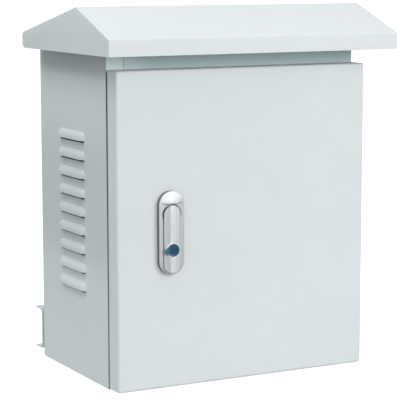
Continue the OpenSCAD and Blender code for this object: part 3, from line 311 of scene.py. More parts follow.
@dataclass(frozen=True)
class GappedCoat(PowderCoat):
    """Powder coat with painted shade in the narrow gap between the door's sides and the cabinet.

    A pair holds where the painted shade begins and where it is full, in metres: `gap` in depth, `gap_x`
    in distance from the middle, `gap_top` in height. It grows darker over `darker_over`.
    """

    gap: Span = (-0.1232, -0.1222)
    gap_x: Span = (0.1935, 0.1955)
    gap_top: Span = (0.4475, 0.4455)
    darker_over: Span = (0.05, 0.44)
    thin: float = 0.50
    more: float = 0.28
    patchy: float = 0.2
    # Colour of the painted shade in the gap.
    gap_shade: Colour = (0.030, 0.037, 0.037)

    def marks_and_painted_light(self, n: Nodes, tone: Value) -> Value:
        """Paints shade into the gap.

        Args:
            n: The material's nodes.
            tone: The clean coat.
        Returns:
            The coat with its painted shade.
        """
        # Painted shade: the gap's walls are darkened, more higher up and in patches.
        walls = abs(n.axis("X")).step(*self.gap_x) * n.axis("Y").step(*self.gap)
        amount = n.axis("Z").step(*self.darker_over) * self.more + self.thin
        amount = n.noise(90.0, 3.0) * self.patchy + amount
        return n.blend(walls * n.axis("Z").step(*self.gap_top) * amount, tone, self.gap_shade)


@dataclass(frozen=True)
class CabinetCoat(GappedCoat):
    """The cabinet's coat, in metres. The header over the door is painted darker and greener than the
    sides as painted shade, lighter towards the seam as painted light, the flange beside it is painted
    paler as painted light, and a fine dark seam parts them. Painted shadow darkens the sides under the
    eave, and a band of painted shade lies on the sides between two fades.
    """

    gap: Span = (-0.1165, -0.1172)
    header_z: Span = (0.4480, 0.4490)
    # The header's colours are painted shade, lighter towards the seam as painted light.
    header: Colour = (0.585, 0.710, 0.712)
    header_at_seam: Colour = (0.720, 0.850, 0.855)
    header_fade: float = 0.045
    # The flange's paler colour is painted light.
    flange: Colour = (0.850, 0.960, 0.955)
    seam_x: float = -0.173
    seam_edge: float = 0.0004
    seam_line: Span = (0.0002, 0.0006)
    seam_share: float = 0.6
    seam_colour: Colour = (0.12, 0.13, 0.13)
    side_x: Span = (0.1985, 0.1990)
    # Heights of the eave's painted shadow on the sides.
    eave: Span = (0.430, 0.451)
    eave_shadow_share: float = 0.42
    # A band of painted shade on the sides, between two fades.
    side_shade_low: Span = (0.140, 0.195)
    side_shade_high: Span = (0.400, 0.300)
    side_shade_share: float = 0.17
    # Share of the clean colour left where shade is painted on the sides.
    shaded: float = 0.35

    def front(self, n: Nodes, tone: Value) -> Value:
        """Colours the header with painted shade that grows lighter towards the seam, the flange with
        painted light, and their seam.

        Args:
            n: The material's nodes.
            tone: The clean coat.
        Returns:
            The coat with its front.
        """
        x = n.axis("X")
        front = n.axis("Y").step(*self.gap) * n.axis("Z").step(*self.header_z)
        near = 1.0 - x.step(self.seam_x, self.seam_x + self.header_fade)
        # Painted shade on the header, lighter near the seam.
        tone = n.blend(front, tone, n.blend(near, self.header, self.header_at_seam))
        flange = front * x.step(self.seam_x + self.seam_edge, self.seam_x - self.seam_edge)
        # Painted light on the flange.
        tone = n.blend(flange, tone, self.flange)
        line = 1.0 - abs(x - self.seam_x).step(*self.seam_line)
        return n.blend(line * front * self.seam_share, tone, self.seam_colour)

    def marks_and_painted_light(self, n: Nodes, tone: Value) -> Value:
        """Adds the front, the painted shade in the gap, the painted shadow under the eave and the band of
        painted shade on the sides.

        Args:
            n: The material's nodes.
            tone: The clean coat.
        Returns:
            The coat with its seam and its painted light and shade.
        """
        tone = super().marks_and_painted_light(n, self.front(n, tone))
        side, shaded = abs(n.axis("X")).step(*self.side_x), scaled(self.colour, self.shaded)
        # Painted shadow under the eave.
        tone = n.blend(side * n.axis("Z").step(*self.eave) * self.eave_shadow_share, tone, shaded)
        # Painted shade down the middle of the sides.
        side_shade = n.axis("Z").step(*self.side_shade_low) * n.axis("Z").step(*self.side_shade_high) * side
        return n.blend(side_shade * self.side_shade_share, tone, shaded)


@dataclass(frozen=True)
class Galvanised:
    """Hot-dipped sheet: angular spangle with each crystal its own grey and polish."""

    name: str
    colour: Colour
    spangle_per_m: float = 95.0

    def build(self) -> bpy.types.Material:
        """Builds the material.

        Returns:
            The node material.
        """
        n = Nodes(self.name)
        shade = n.cells(self.spangle_per_m, "F1", "Color")
        crystal = n.add("ShaderNodeSeparateColor", {}, {0: shade}, 0)
        edge = n.cells(self.spangle_per_m, "DISTANCE_TO_EDGE").step(0.0, 0.06)
        tone = n.blend(crystal, scaled(self.colour, 0.86), scaled(self.colour, 1.08))
        tone = n.blend(1.0 - edge, tone, scaled(self.colour, 0.78))
        rough = crystal * 0.16 + n.noise(60.0, 3.0) * 0.14 + 0.30
        skin = edge * 0.5 + n.noise(900.0, 2.0) * 0.5
        return n.finish(
            {"Base Color": tone, "Metallic": 0.92, "Roughness": rough, "Normal": n.bump(skin, 0.02)}
        )


@dataclass(frozen=True)
class ZincPlate:
    """Bright zinc plating: fine brushing, a cloudy tone and a faint straw tint in patches."""

    name: str
    colour: Colour
    roughness: float = 0.30

    def build(self) -> bpy.types.Material:
        """Builds the material.

        Returns:
            The node material.
        """
        n = Nodes(self.name)
        cloud = n.noise(110.0, 3.0)
        fine = n.noise(2400.0, 1.0, n.stretched((1.0, 1.0, 0.18)))
        tone = n.blend(cloud.step(0.35, 0.7), self.colour, scaled(self.colour, 1.1))
        tone = n.blend(n.noise(300.0, 2.0).step(0.5, 0.8) * 0.3, tone, (0.62, 0.58, 0.48))
        return n.finish(
            {
                "Base Color": tone,
                "Metallic": 1.0,
                "Roughness": cloud * 0.16 + fine * 0.10 + (self.roughness - 0.12),
                "Normal": n.bump(fine * 0.6 + cloud * 0.4, 0.012),
            }
        )


@dataclass(frozen=True)
class SatinChrome:
    """Satin chrome on a zinc casting: soft long waves, fine polish lines, and a foot between two heights
    over the door that is rougher and painted dark as painted shade. Lengths are millimetres, and a circle
    is (x, z, radius) on the door's plane.
    """

    name: str
    colour: Colour
    roughness: float
    foot: Span
    # Share of the colour left at the foot: painted shade.
    foot_shade: float = 0.30
    dull_rough: float = 0.1

    def inside(self, n: Nodes, circle: Circle, soft: float) -> Value:
        """A mask of the door's plane.

        Args:
            n: The material's nodes.
            circle: Where the mask is 1.
            soft: Width over which it falls to 0 outside.
        Returns:
            The mask.
        """
        x, z, radius = (v / MM for v in circle)
        away = ((n.axis("X") - x) ** 2.0 + (n.axis("Z") - z) ** 2.0) ** 0.5
        return 1.0 - away.step(radius, radius + soft / MM)

    def worked(self, n: Nodes, tone: Value, rough: Value) -> tuple[Value, Value]:
        """Tone and roughness after the places that are polished or brushed: none here."""
        return tone, rough

    def dull_and_shaded(self, n: Nodes, foot: Value) -> Value:
        """How much each place is roughened and painted dark as painted shade, from the foot alone: no
        more here.
        """
        return foot

    def build(self) -> bpy.types.Material:
        """Builds the material.

        Returns:
            The node material.
        """
        n = Nodes(self.name)
        wave = n.noise(55.0, 2.0)
        lines = n.noise(1500.0, 2.0, n.stretched((1.0, 1.0, 0.06)))
        pits = n.noise(2200.0, 2.0).step(0.62, 0.78)
        tone = n.blend(wave.step(0.3, 0.75), scaled(self.colour, 0.96), scaled(self.colour, 1.03))
        tone = n.blend(pits * 0.25, tone, scaled(self.colour, 0.7))
        rough = lines * 0.10 + wave * 0.08 + pits * 0.12 + (self.roughness - 0.08)
        tone, rough = self.worked(n, tone, rough)
        # The foot next to the door is made rougher and painted dark: painted shade.
        low, high = ((DOOR_FACE - height) / MM for height in self.foot)
        foot = self.dull_and_shaded(n, n.axis("Y").step(high, low))
        height = wave * 0.5 + lines * 0.3 + (1.0 - pits) * 0.2
        return n.finish(
            {
                "Base Color": n.blend(foot, tone, scaled(self.colour, self.foot_shade)),
                "Metallic": 1.0,
                "Roughness": rough + foot * self.dull_rough,
                "Normal": n.bump(height, 0.02),
            }
        )


@dataclass(frozen=True)
class BaseChrome(SatinChrome):
    """The lock base's chrome: the swell's crest is paler and more even as a painted highlight, and the
    pocket's edge is painted dark as painted shade.
    """

    # The crest's pale tone is a painted highlight.
    crest: Circle = (-120.0, 271.0, 9.0)
    crest_fade: float = 8.0
    crest_matt: float = 0.22
    pale: float = 0.90
    off_crest: float = 0.66
    # Painted shade round the pocket's edge.
    pocket: Circle = (-120.0, 248.3, 14.8)
    pocket_fade: float = 0.3

    def worked(self, n: Nodes, tone: Value, rough: Value) -> tuple[Value, Value]:
        """Gives the crest one pale, even tone as a painted highlight and the rest a darker one.

        Args:
            n: The material's nodes.
            tone: The casting's tone.
            rough: The casting's roughness.
        Returns:
            The new tone and roughness.
        """
        # Painted highlight on the crest.
        crest = self.inside(n, self.crest, self.crest_fade)
        tone = n.blend(crest, scaled(self.colour, self.off_crest), scaled(self.colour, self.pale))
        return tone, rough + crest * self.crest_matt

    def dull_and_shaded(self, n: Nodes, foot: Value) -> Value:
        """The foot's painted shade and roughness, and the pocket's."""
        # The pocket's edge is painted dark: painted shade.
        return (foot + self.inside(n, self.pocket, self.pocket_fade)).clamp(0.0, 1.0)


@dataclass(frozen=True)
class HandleChrome(SatinChrome):
    """The handle's chrome: one polished flat along its middle between two brushed ones painted darker,
    the left one more, as painted shade, and a polished circle round the dust cap.
    """

    middle: float = -120.0
    half_flat: float = 3.9
    flat_fade: float = 0.5
    # Tones of the outer flats, the left darker: painted shade.
    left: float = 0.567
    right: float = 0.81
    brushed_rough: float = 0.06
    badge: Circle = (-120.0, 198.9, 10.4)
    badge_fade: float = 0.2

    def worked(self, n: Nodes, tone: Value, rough: Value) -> tuple[Value, Value]:
        """Brushes the two outer flats and paints them darker, the left one more: painted shade.

        Args:
            n: The material's nodes.
            tone: The casting's tone.
            rough: The casting's roughness.
        Returns:
            The new tone and roughness.
        """
        x, middle = n.axis("X"), self.middle / MM
        ends = ((self.half_flat - self.flat_fade) / MM, (self.half_flat + self.flat_fade) / MM)
        flat = abs(x - middle).step(*ends) * (1.0 - self.inside(n, self.badge, self.badge_fade))
        # Painted shade on the outer flats.
        brushed_and_shaded = n.blend(x > middle, scaled(self.colour, self.left), scaled(self.colour, self.right))
        return n.blend(flat, tone, brushed_and_shaded), rough + flat * self.brushed_rough


@dataclass(frozen=True)
class MouldedPlastic:
    """Glossy moulded plastic, paler on the side of its pivot, about the X `turn_x` in metres."""

    name: str
    colour: Colour
    paler: Colour
    turn_x: float
    soft: float = 0.004

    def build(self) -> bpy.types.Material:
        """Builds the material.

        Returns:
            The node material.
        """
        n = Nodes(self.name)
        side = 1.0 - n.axis("X").step(self.turn_x - self.soft, self.turn_x + self.soft)
        tone = n.blend(side, self.colour, self.paler)
        flow = n.noise(160.0, 2.0)
        tone = n.blend(flow.step(0.4, 0.8) * 0.25, tone, scaled(self.colour, 1.5))
        return n.finish(
            {
                "Base Color": tone,
                "Roughness": flow * 0.12 + 0.18,
                "Normal": n.bump(n.noise(900.0, 2.0), 0.01),
                "Coat Weight": 0.4,
                "Coat Roughness": 0.08,
            }
        )


@dataclass(frozen=True)
class Elastomer:
    """Rubber or closed-cell foam: matt, with pores of the size given."""

    name: str
    colour: Colour
    pores_per_m: float
    pore_mm: float

    def build(self) -> bpy.types.Material:
        """Builds the material.

        Returns:
            The node material.
        """
        n = Nodes(self.name)
        pore = n.cells(self.pores_per_m)
        bloom = n.noise(45.0, 4.0).step(0.4, 0.8)
        tone = n.blend(bloom * 0.5, self.colour, scaled(self.colour, 1.7))
        tone = n.blend(pore.step(0.0, 0.35), scaled(self.colour, 0.6), tone)
        return n.finish(
            {
                "Base Color": tone,
                "Roughness": bloom * 0.12 + 0.74,
                "Normal": n.bump(pore, self.pore_mm),
                "Specular IOR Level": 0.3,
            }
        )


class Finish(Enum):
    """The finishes of this cabinet; each value is the record's slot and the recipe."""

    CABINET = ("cabinet_paint", CabinetCoat("cabinet powder coat", (0.712, 0.750, 0.768)))
    HOOD = ("hood_paint", PowderCoat("hood powder coat", (0.718, 0.752, 0.774)))
    # The door's coat carries painted shade along its return's edge in the gap.
    DOOR = ("door_paint", GappedCoat("door powder coat", (0.712, 0.748, 0.770)))
    GALVANISED = ("galvanised_steel", Galvanised("galvanised sheet", (0.60, 0.62, 0.64)))
    FASTENER = ("zinc_fasteners", ZincPlate("zinc fasteners", (0.62, 0.63, 0.64)))
    HINGE = ("hinge_steel", ZincPlate("zinc hinge steel", (0.60, 0.61, 0.62), 0.36))
    CHROME = ("lock_chrome", BaseChrome("satin chrome", (0.79, 0.805, 0.83), 0.46, (5.5, 7.2)))
    HANDLE = (
        "lock_chrome",
        HandleChrome("brushed and polished chrome", (0.895, 0.93, 0.96), 0.34, (8.2, 9.3)),
    )
    LOCK_STEEL = ("lock_steel", ZincPlate("lock steel", (0.56, 0.57, 0.58), 0.38))
    BLUE = (
        "blue_plastic",
        MouldedPlastic("blue cap plastic", (0.003, 0.063, 0.121), (0.036, 0.172, 0.258), -0.1275),
    )
    RUBBER = ("black_rubber", Elastomer("black rubber", (0.022, 0.022, 0.023), 1300.0, 0.03))
    FOAM = ("seal_foam", Elastomer("seal foam", (0.035, 0.035, 0.037), 620.0, 0.22))

    @property
    def slot(self) -> str:
        """The record's material slot."""
        return self.value[0]

    def material(self) -> bpy.types.Material:
        """The finish's material, built once."""
        found = bpy.data.materials.get(self.value[1].name)
        return found or self.value[1].build()


# ---------------------------------------------------------------- meshes


def arc(centre: Sequence[float], radius: float, start: float, end: float, steps: int = 8) -> Array:
    """Points of a circular arc: centre + radius (cos a, sin a) for a from start to end degrees.

    Args:
        centre: The arc's centre.
        radius: Its radius.
        start: First angle in degrees.
        end: Last angle in degrees.
        steps: Number of chords.
    Returns:
        Points, one a row.
    """
    a = np.radians(np.linspace(start, end, steps + 1))
    return np.column_stack([centre[0] + radius * np.cos(a), centre[1] + radius * np.sin(a)])


def fillet(path: Array, radii: Sequence[float], steps: int = 8) -> Array:
    """Rounds the inner corners of a polyline with tangent arcs.

    Each corner b between unit directions d1 and d2, turning by t, is cut back by r tan(t/2)
    on both sides, and the arc is swept about b - d1 r tan(t/2) + r n, with n the inward normal.

    Args:
        path: Corner points, one a row.
        radii: A radius for each inner corner.
        steps: Chords in each arc.
    Returns:
        The rounded polyline.
    """
    pts = [path[0]]
    for a, b, c, r in zip(path[:-2], path[1:-1], path[2:], radii):
        d1, d2 = (b - a) / np.linalg.norm(b - a), (c - b) / np.linalg.norm(c - b)
        turn = math.atan2(d1[0] * d2[1] - d1[1] * d2[0], float(d1 @ d2))
        way = math.copysign(1.0, turn)
        centre = b - d1 * r * math.tan(abs(turn) / 2) + way * r * np.array([-d1[1], d1[0]])
        start = math.degrees(math.atan2(-way * d1[0], way * d1[1]))
        pts.extend(arc(centre, r, start, start + math.degrees(turn), steps))
    pts.append(path[-1])
    return np.array(pts)


def normals_2d(path: Array) -> Array:
    """Unit normals to the left of an open polyline, from central differences.

    Args:
        path: Points, one a row.
    Returns:
        A normal for each point.
    """
    d = np.gradient(path, axis=0)
    d /= np.linalg.norm(d, axis=1, keepdims=True)
    return np.column_stack([-d[:, 1], d[:, 0]])


def box_mm(node: str) -> tuple[Array, Array]:
    """Lowest and highest corner of a frame node, in millimetres."""
    low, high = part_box(node)
    return np.array(low) * MM, np.array(high) * MM


def carried(xs: Array, sections: Array) -> Array:
    """Places sections across the box.

    Args:
        xs: Where each section stands.
        sections: Points (y, z) of each section.
    Returns:
        A grid of points, with a row for each section.
    """
    across = np.broadcast_to(xs[:, None, None], (*sections.shape[:2], 1))
    return np.concatenate([across, sections], 2)


def ring_at(outline: Array, y: float) -> Array:
    """A closed outline (x, z) placed at the depth y."""
    return np.column_stack([outline[:, 0], np.full(len(outline), y), outline[:, 1]])


def quads(rows: int, cols: int, wrap: bool = False, keep: Optional[Array] = None, base: int = 0) -> Array:
    """Quad indices of a grid of points.

    Args:
        rows: Rows of points.
        cols: Columns of points.
        wrap: True joins the last column to the first.
        keep: Mask of the cells that stay, rows-1 by cols-1 (or cols when wrapped).
        base: Index of the grid's first point.
    Returns:
        Four indices a row.
    """
    i, j = np.meshgrid(np.arange(rows - 1), np.arange(cols if wrap else cols - 1), indexing="ij")
    k = (j + 1) % cols
    cells = np.stack([i * cols + j, i * cols + k, (i + 1) * cols + k, (i + 1) * cols + j], -1) + base
    return (cells[keep] if keep is not None else cells.reshape(-1, 4)).reshape(-1, 4)


class Draft:
    """Collects points and faces in millimetres and turns them into one mesh object."""

    def __init__(self) -> None:
        """Starts empty."""
        self.points: list[Array] = []
        self.faces: list[list[int]] = []
        self.count = 0

    def grid(self, points: Array, wrap: bool = False, keep: Optional[Array] = None) -> "Draft":
        """Adds a grid with its quads.

        Args:
            points: Points in rows and columns.
            wrap: True joins the last column to the first.
            keep: Mask of the cells that stay.
        Returns:
            This draft.
        """
        rows, cols = points.shape[:2]
        self.faces.extend(quads(rows, cols, wrap, keep, self.count).tolist())
        return self._take(points.reshape(-1, 3))

    def polygon(self, points: Array) -> "Draft":
        """Adds one flat many-sided face."""
        self.faces.append(list(range(self.count, self.count + len(points))))
        return self._take(points)

    def _take(self, points: Array) -> "Draft":
        """Stores points and counts them.

        Args:
            points: Points, one a row.
        Returns:
            This draft.
        """
        self.points.append(points)
        self.count += len(points)
        return self

    def mesh(self, name: str, weld_mm: float = 0.002) -> bpy.types.Object:
        """Makes the object: points in metres, doubles merged, normals recalculated.

        Args:
            name: Object name.
            weld_mm: Distance within which points merge.
        Returns:
            The new object, linked to the scene.
        """
        data = bpy.data.meshes.new(name)
        data.from_pydata(np.concatenate(self.points) / MM, [], self.faces)
        work = bmesh.new()
        work.from_mesh(data)
        bmesh.ops.remove_doubles(work, verts=work.verts, dist=weld_mm / MM)
        loose = [v for v in work.verts if not v.link_faces]
        bmesh.ops.delete(work, geom=loose, context="VERTS")
        bmesh.ops.dissolve_degenerate(work, dist=TINY, edges=work.edges)
        bmesh.ops.recalc_face_normals(work, faces=work.faces)
        work.to_mesh(data)
        work.free()
        piece = bpy.data.objects.new(name, data)
        bpy.context.scene.collection.objects.link(piece)
        return piece


def smooth(piece: bpy.types.Object, angle: float = 32.0) -> None:
    """Shades a piece smoothly.

    Args:
        piece: The object.
        angle: Edges that turn by more than this many degrees stay sharp.
    """
    data = piece.data
    data.shade_smooth()
    work = bmesh.new()
    work.from_mesh(data)
    for edge in work.edges:
        edge.smooth = len(edge.link_faces) == 2 and edge.calc_face_angle(0.0) < math.radians(angle)
    work.to_mesh(data)
    work.free()


def sheet_metal(piece: bpy.types.Object, thickness: float, offset: float = 0.0) -> None:
    """Gives a surface its sheet thickness in millimetres, offset -1 inwards, 0 central."""
    wall = piece.modifiers.new("sheet", "SOLIDIFY")
    wall.thickness, wall.offset, wall.use_even_offset = thickness / MM, offset, True


def eased(piece: bpy.types.Object, width: float, segments: int = 2, angle: float = 32.0) -> None:
    """Breaks a piece's sharp edges.

    Args:
        piece: The object.
        width: Width of the break in millimetres.
        segments: Facets across it.
        angle: Edges that turn by less than this many degrees are left alone.
    """
    edge = piece.modifiers.new("eased edges", "BEVEL")
    edge.width, edge.segments, edge.limit_method = width / MM, segments, "ANGLE"
    edge.angle_limit, edge.harden_normals = math.radians(angle), True
    edge.use_clamp_overlap = True


def dress(piece: bpy.types.Object, finish: Finish, body: str, *nodes: str) -> bpy.types.Object:
    """Gives a piece its finish, its body and the CAD nodes that it stands for.

    Args:
        piece: The object.
        finish: Its finish.
        body: CAD body that it moves with.
        nodes: CAD nodes that it replaces.
    Returns:
        The same object.
    """
    piece.data.materials.clear()
    piece.data.materials.append(finish.material())
    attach(piece, body)
    if nodes:
        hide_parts(*nodes)
    LOG.info("%s: %d faces on %s", piece.name, len(piece.data.polygons), body)
    return piece


# ---------------------------------------------------------------- cabinet


@dataclass(frozen=True)
class Louvres:
    """Rows of pressed louvres on one side wall, as a displacement of the wall's middle surface."""

    count: int = 9
    pitch: float = 27.0
    middle: float = 233.5
    length: float = 92.0
    height: float = 12.5
    crown: float = 9.25
    sunk: float = 3.25
    crown_in: float = 9.165
    slot_length: float = 80.0
    slot_height: float = 3.4
    lip_up: float = 2.2
    drawn: float = 1.3
    soften: float = 1.2
    steps: int = 16
    crowding: float = 0.85
    beyond: float = 0.6
    end_margin: float = 1.0
    plain_columns: tuple[float, ...] = (0.0, 12.0, 24.0, 60.0, 80.0, 100.0, 114.5)

    def lips(self) -> Array:
        """Heights of the lips, lowest first."""
        i = np.arange(self.count) - (self.count - 1) / 2
        return self.middle + i * self.pitch + self.lip_up

    def rows(self) -> tuple[Array, Array]:
        """Grid rows up the wall: the slot's lower edge, its lip, and the crown's own rows.

        Returns:
            Heights, and the index of the louvre that lifts the row, or -1.
        """
        rise = (self.height + self.beyond) * np.linspace(0, 1, self.steps) ** self.crowding
        heights, owner = [], []
        for index, lip in enumerate(self.lips()):
            heights += [lip - self.slot_height, lip, *(lip + rise)]
            owner += [-1, -1, *([index] * len(rise))]
        return np.array(heights), np.array(owner)

    def columns(self) -> Array:
        """Grid columns along the wall, fine where a louvre's ends curve.

        Returns:
            Distances from the wall's middle, in order.
        """
        start = self.length / 2 - self.crown_in * self.drawn - self.end_margin
        curved = np.linspace(start, self.length / 2 + self.end_margin, self.steps)
        half = np.unique(np.r_[self.plain_columns, curved, self.slot_length / 2])
        return np.r_[-half[:0:-1], half]

    def lift(self, along: Array, above: Array) -> Array:
        """Height of the crown over the wall.

        A ball of radius R rolls along the edge of a core rectangle, sunk behind the wall:
        h = sqrt(R^2 - d^2) - sunk, with d the distance outside the core. A smooth maximum with
        zero, width `soften`, draws it out into the wall as pressing does, and `drawn` stretches
        the two ends along the wall.

        Args:
            along: Distance along the wall from the middle.
            above: Height above the lip.
        Returns:
            The displacement in millimetres.
        """
        core_y = self.length / 2 - self.crown_in * self.drawn
        core_z = self.height - self.crown_in
        d_y, d_z = np.maximum(np.abs(along) - core_y, 0), np.maximum(above - core_z, 0)
        d = np.hypot(d_y / self.drawn, d_z)
        h = np.sqrt(np.maximum(self.crown**2 - d**2, 0)) - self.sunk
        h = np.where(d > self.crown, -self.sunk - (d - self.crown), h)
        k = self.soften
        blend = np.clip(0.5 + 0.5 * h / k, 0, 1)
        return h * blend + k * blend * (1 - blend)


@dataclass
class CabinetShell:
    """Folded wrap of the cabinet: lips, front flanges, sides with louvres, and back."""

    width: float = 400.0
    depth: float = 236.0
    height: float = 480.0
    sheet: float = 1.5
    bend: float = 2.75
    front_bend: float = 1.5
    seam: float = 27.0
    lip_low: float = 28.5
    lip_high: float = 420.0
    lip_tip: float = -139.2
    plain_rows: tuple[float, ...] = (60.0, 90.0, 385.0, 450.0)
    back_steps: int = 8
    louvres: Louvres = Louvres()

    def half_plan(self) -> tuple[Array, Array, Array]:
        """Plan of the middle surface from the left lip's tip to the middle of the back.

        Returns:
            Points with the lip folded out, the same points with the flange left flat, and
            the distance along the side wall (NaN off the wall).
        """
        x, y, r = self.width / 2 - self.sheet / 2, self.depth / 2 - self.sheet / 2, self.bend
        lip_x = self.width / 2 - self.seam - self.sheet / 2
        wall_y = self.louvres.columns()
        tip = np.array([[-lip_x, self.lip_tip]])
        fold = arc((-lip_x - r, -y - r), r, 0, 90)
        tight = self.front_bend
        front = arc((-x + tight, -y + tight), tight, -90, -180)
        wall = np.column_stack([np.full(wall_y.shape, -x), wall_y])
        rear = arc((-x + r, y - r), r, 180, 90)
        back_x = np.linspace(-x + r, 0, self.back_steps + 1)[1:]
        back = np.column_stack([back_x, np.full(self.back_steps, y)])
        folded = np.concatenate([tip, fold, front, wall[1:-1], rear, back])
        flat = folded.copy()
        lip = len(fold) + 1
        flat[:lip, 1] = -y
        flat[:lip, 0] = np.linspace(-lip_x - self.sheet / 2, -lip_x - r, lip)
        along = np.full(len(folded), np.nan)
        start = len(fold) + len(front)
        along[start : start + len(wall)] = wall_y
        return folded, flat, along

    def plan(self) -> tuple[Array, Array, Array]:
        """The whole plan: the half plan and its mirrored half, which share the middle point.

        Returns:
            The same three arrays as the half plan's.
        """
        folded, flat, along = self.half_plan()
        mirror = np.array([-1.0, 1.0])
        whole = [np.concatenate([half, (half * mirror)[-2::-1]]) for half in (folded, flat)]
        return whole[0], whole[1], np.concatenate([along, along[-2::-1]])

    def rows(self) -> tuple[Array, Array, Array]:
        """Grid rows up the shell, lowest first. The ends of the lips are doubled rows.

        Returns:
            Heights, the louvre that lifts each row or -1, and whether its lips are folded out.
        """
        z, owner = self.louvres.rows()
        fixed = np.r_[0.0, [self.lip_low, self.lip_high] * 2, self.plain_rows, self.height]
        z, owner = np.r_[z, fixed], np.r_[owner, np.full(len(fixed), -1)]
        order = np.argsort(z, kind="stable")
        z, owner = z[order], owner[order]
        folded = (z > self.lip_low - SAME) & (z < self.lip_high + SAME)
        folded[np.flatnonzero(np.abs(z - self.lip_low) < SAME)[0]] = False
        folded[np.flatnonzero(np.abs(z - self.lip_high) < SAME)[-1]] = False
        return z, owner, folded

    def sheet_cells(self, z: Array, lip_rows: Array, along: Array) -> Array:
        """Finds the cells that are sheet: not those between doubled rows, past the lips' ends
        or in the slots.

        Args:
            z: Heights of the rows.
            lip_rows: Rows whose lips are folded out.
            along: Distance of each column along the side wall.
        Returns:
            A mask of the grid's cells.
        """
        keep = np.ones((len(z) - 1, len(along) - 1), bool)
        keep[np.diff(z) < SAME] = False
        ends = np.zeros(len(along) - 1, bool)
        ends[[0, -1]] = True
        keep[~(lip_rows[:-1] & lip_rows[1:])[:, None] & ends[None, :]] = False
        lips = self.louvres.lips()
        low, high = lips - self.louvres.slot_height - SAME, lips + SAME
        slot = ((z[:-1, None] > low) & (z[1:, None] < high)).any(1)
        inside = np.abs(along) <= self.louvres.slot_length / 2 + SAME
        keep[slot[:, None] & (inside[:-1] & inside[1:])[None, :]] = False
        return keep

    def build(self) -> bpy.types.Object:
        """Builds the shell's middle surface on a grid of rows and plan points, moved outwards
        by the louvres' lift on the side walls, then its thickness.

        Returns:
            The finished object.
        """
        folded, flat, along = self.plan()
        z, owner, lip_rows = self.rows()
        plan = np.where(lip_rows[:, None, None], folded[None], flat[None])
        points = np.concatenate([plan, np.broadcast_to(z[:, None, None], (*plan.shape[:2], 1))], 2)
        wall = ~np.isnan(along)
        above = z - self.louvres.lips()[np.maximum(owner, 0)]
        lift = self.louvres.lift(along[wall][None, :], above[:, None]) * (owner >= 0)[:, None]
        points[:, wall, 0] += np.sign(folded[wall, 0])[None, :] * lift
        keep = self.sheet_cells(z, lip_rows, along)
        shell = Draft().grid(points, keep=keep).mesh("cabinet_wrap")
        smooth(shell, angle=40.0)
        sheet_metal(shell, self.sheet)
        return dress(shell, Finish.CABINET, "cabinet", "body_shell")


@dataclass
class RainHood:
    """Gable hood: one rounded skin from the front skirt over the ridge to the rear flange, and
    the foot that stands on the roof."""

    sheet: float = 1.5
    ridge_back: float = 107.0
    eave: float = 493.3
    fold: float = 2.2
    ridge_radius: float = 9.0
    rear_radius: float = 6.0
    weld_radius: float = 2.2
    roof: float = 480.0
    blunt: float = 0.34
    bays: int = 8
    steps: int = 7
    foot: float = 18.0
    foot_up: float = 6.0
    foot_bend: float = 2.0
    foot_in: float = 0.05

    def outline(self, low: Array, high: Array) -> Array:
        """Gable outline from the skirt's lower edge, over the ridge, to the rear lower corner.

        Args:
            low: Lowest corner of the hood.
            high: Highest corner of the hood.
        Returns:
            Points (y, z), starting and ending on the lower edge.
        """
        y0, y1, z0 = low[1], high[1], low[2]
        ridge = [y0 + self.ridge_back, high[2] + self.blunt]
        corners = np.array([[y0, z0], [y0, self.eave], ridge, [y1, self.eave], [y1, self.roof]])
        over = fillet(corners, [self.fold, self.ridge_radius, self.rear_radius])
        under = (y1 - self.rear_radius, z0 + self.rear_radius)
        return np.concatenate([over, arc(under, self.rear_radius, 0, -90)])

    def skin(self, low: Array, high: Array) -> bpy.types.Object:
        """Builds the skin: the outline is carried along X, and at each gable it turns in by a
        quarter round, ring by ring: x = X - R + R sin a, inset = R (1 - cos a), then a flat gable.
        The rear is left open below the roof, where the cabinet stands.

        Args:
            low: Lowest corner of the hood.
            high: Highest corner of the hood.
        Returns:
            The finished object.
        """
        line = self.outline(low, high)
        inward = -normals_2d(line)
        inward[[0, -1]] = [[1.0, 0.0], [-1.0, 0.0]]
        a = np.radians(np.linspace(90, 0, self.steps))
        r = self.weld_radius
        x_end, inset = high[0] - r + r * np.sin(a), r * (1 - np.cos(a))
        middle = np.linspace(-high[0] + r, high[0] - r, self.bays + 1)[1:-1]
        xs = np.r_[-x_end, middle, x_end[::-1]]
        insets = np.r_[inset, np.zeros(len(middle)), inset[::-1]]
        points = carried(xs, line[None] + inward[None] * insets[:, None, None])
        below = line[:, 1] < self.roof - SAME
        below[: len(line) // 2] = False
        span = np.abs(xs) <= high[0] - r + SAME
        keep = ~((span[:-1] & span[1:])[:, None] & (below[:-1] | below[1:])[None, :])
        draft = Draft().grid(points, keep=keep).polygon(points[0]).polygon(points[-1])
        hood = draft.mesh("rain_hood_skin")
        smooth(hood, angle=28.0)
        sheet_metal(hood, self.sheet, -1.0)
        return dress(hood, Finish.HOOD, "cabinet", "rain_hood")

    def build(self) -> bpy.types.Object:
        """Builds the skin and the foot, an L-shaped strip carried across the roof's rear.

        Returns:
            The skin.
        """
        low, high = box_mm("rain_hood")
        hood = self.skin(low, high)
        rear, end = high[1] - self.foot_in, high[0] - self.weld_radius
        corners = [[rear, self.roof + self.foot_up], [rear, self.roof], [rear - self.foot, self.roof]]
        section = fillet(np.array(corners), [self.foot_bend])
        strip = carried(np.array([-end, end]), np.stack([section, section]))
        flange = Draft().grid(strip).mesh("rain_hood_foot")
        smooth(flange)
        sheet_metal(flange, self.sheet, -1.0)
        dress(flange, Finish.HOOD, "cabinet")
        return hood


# ---------------------------------------------------------------- door


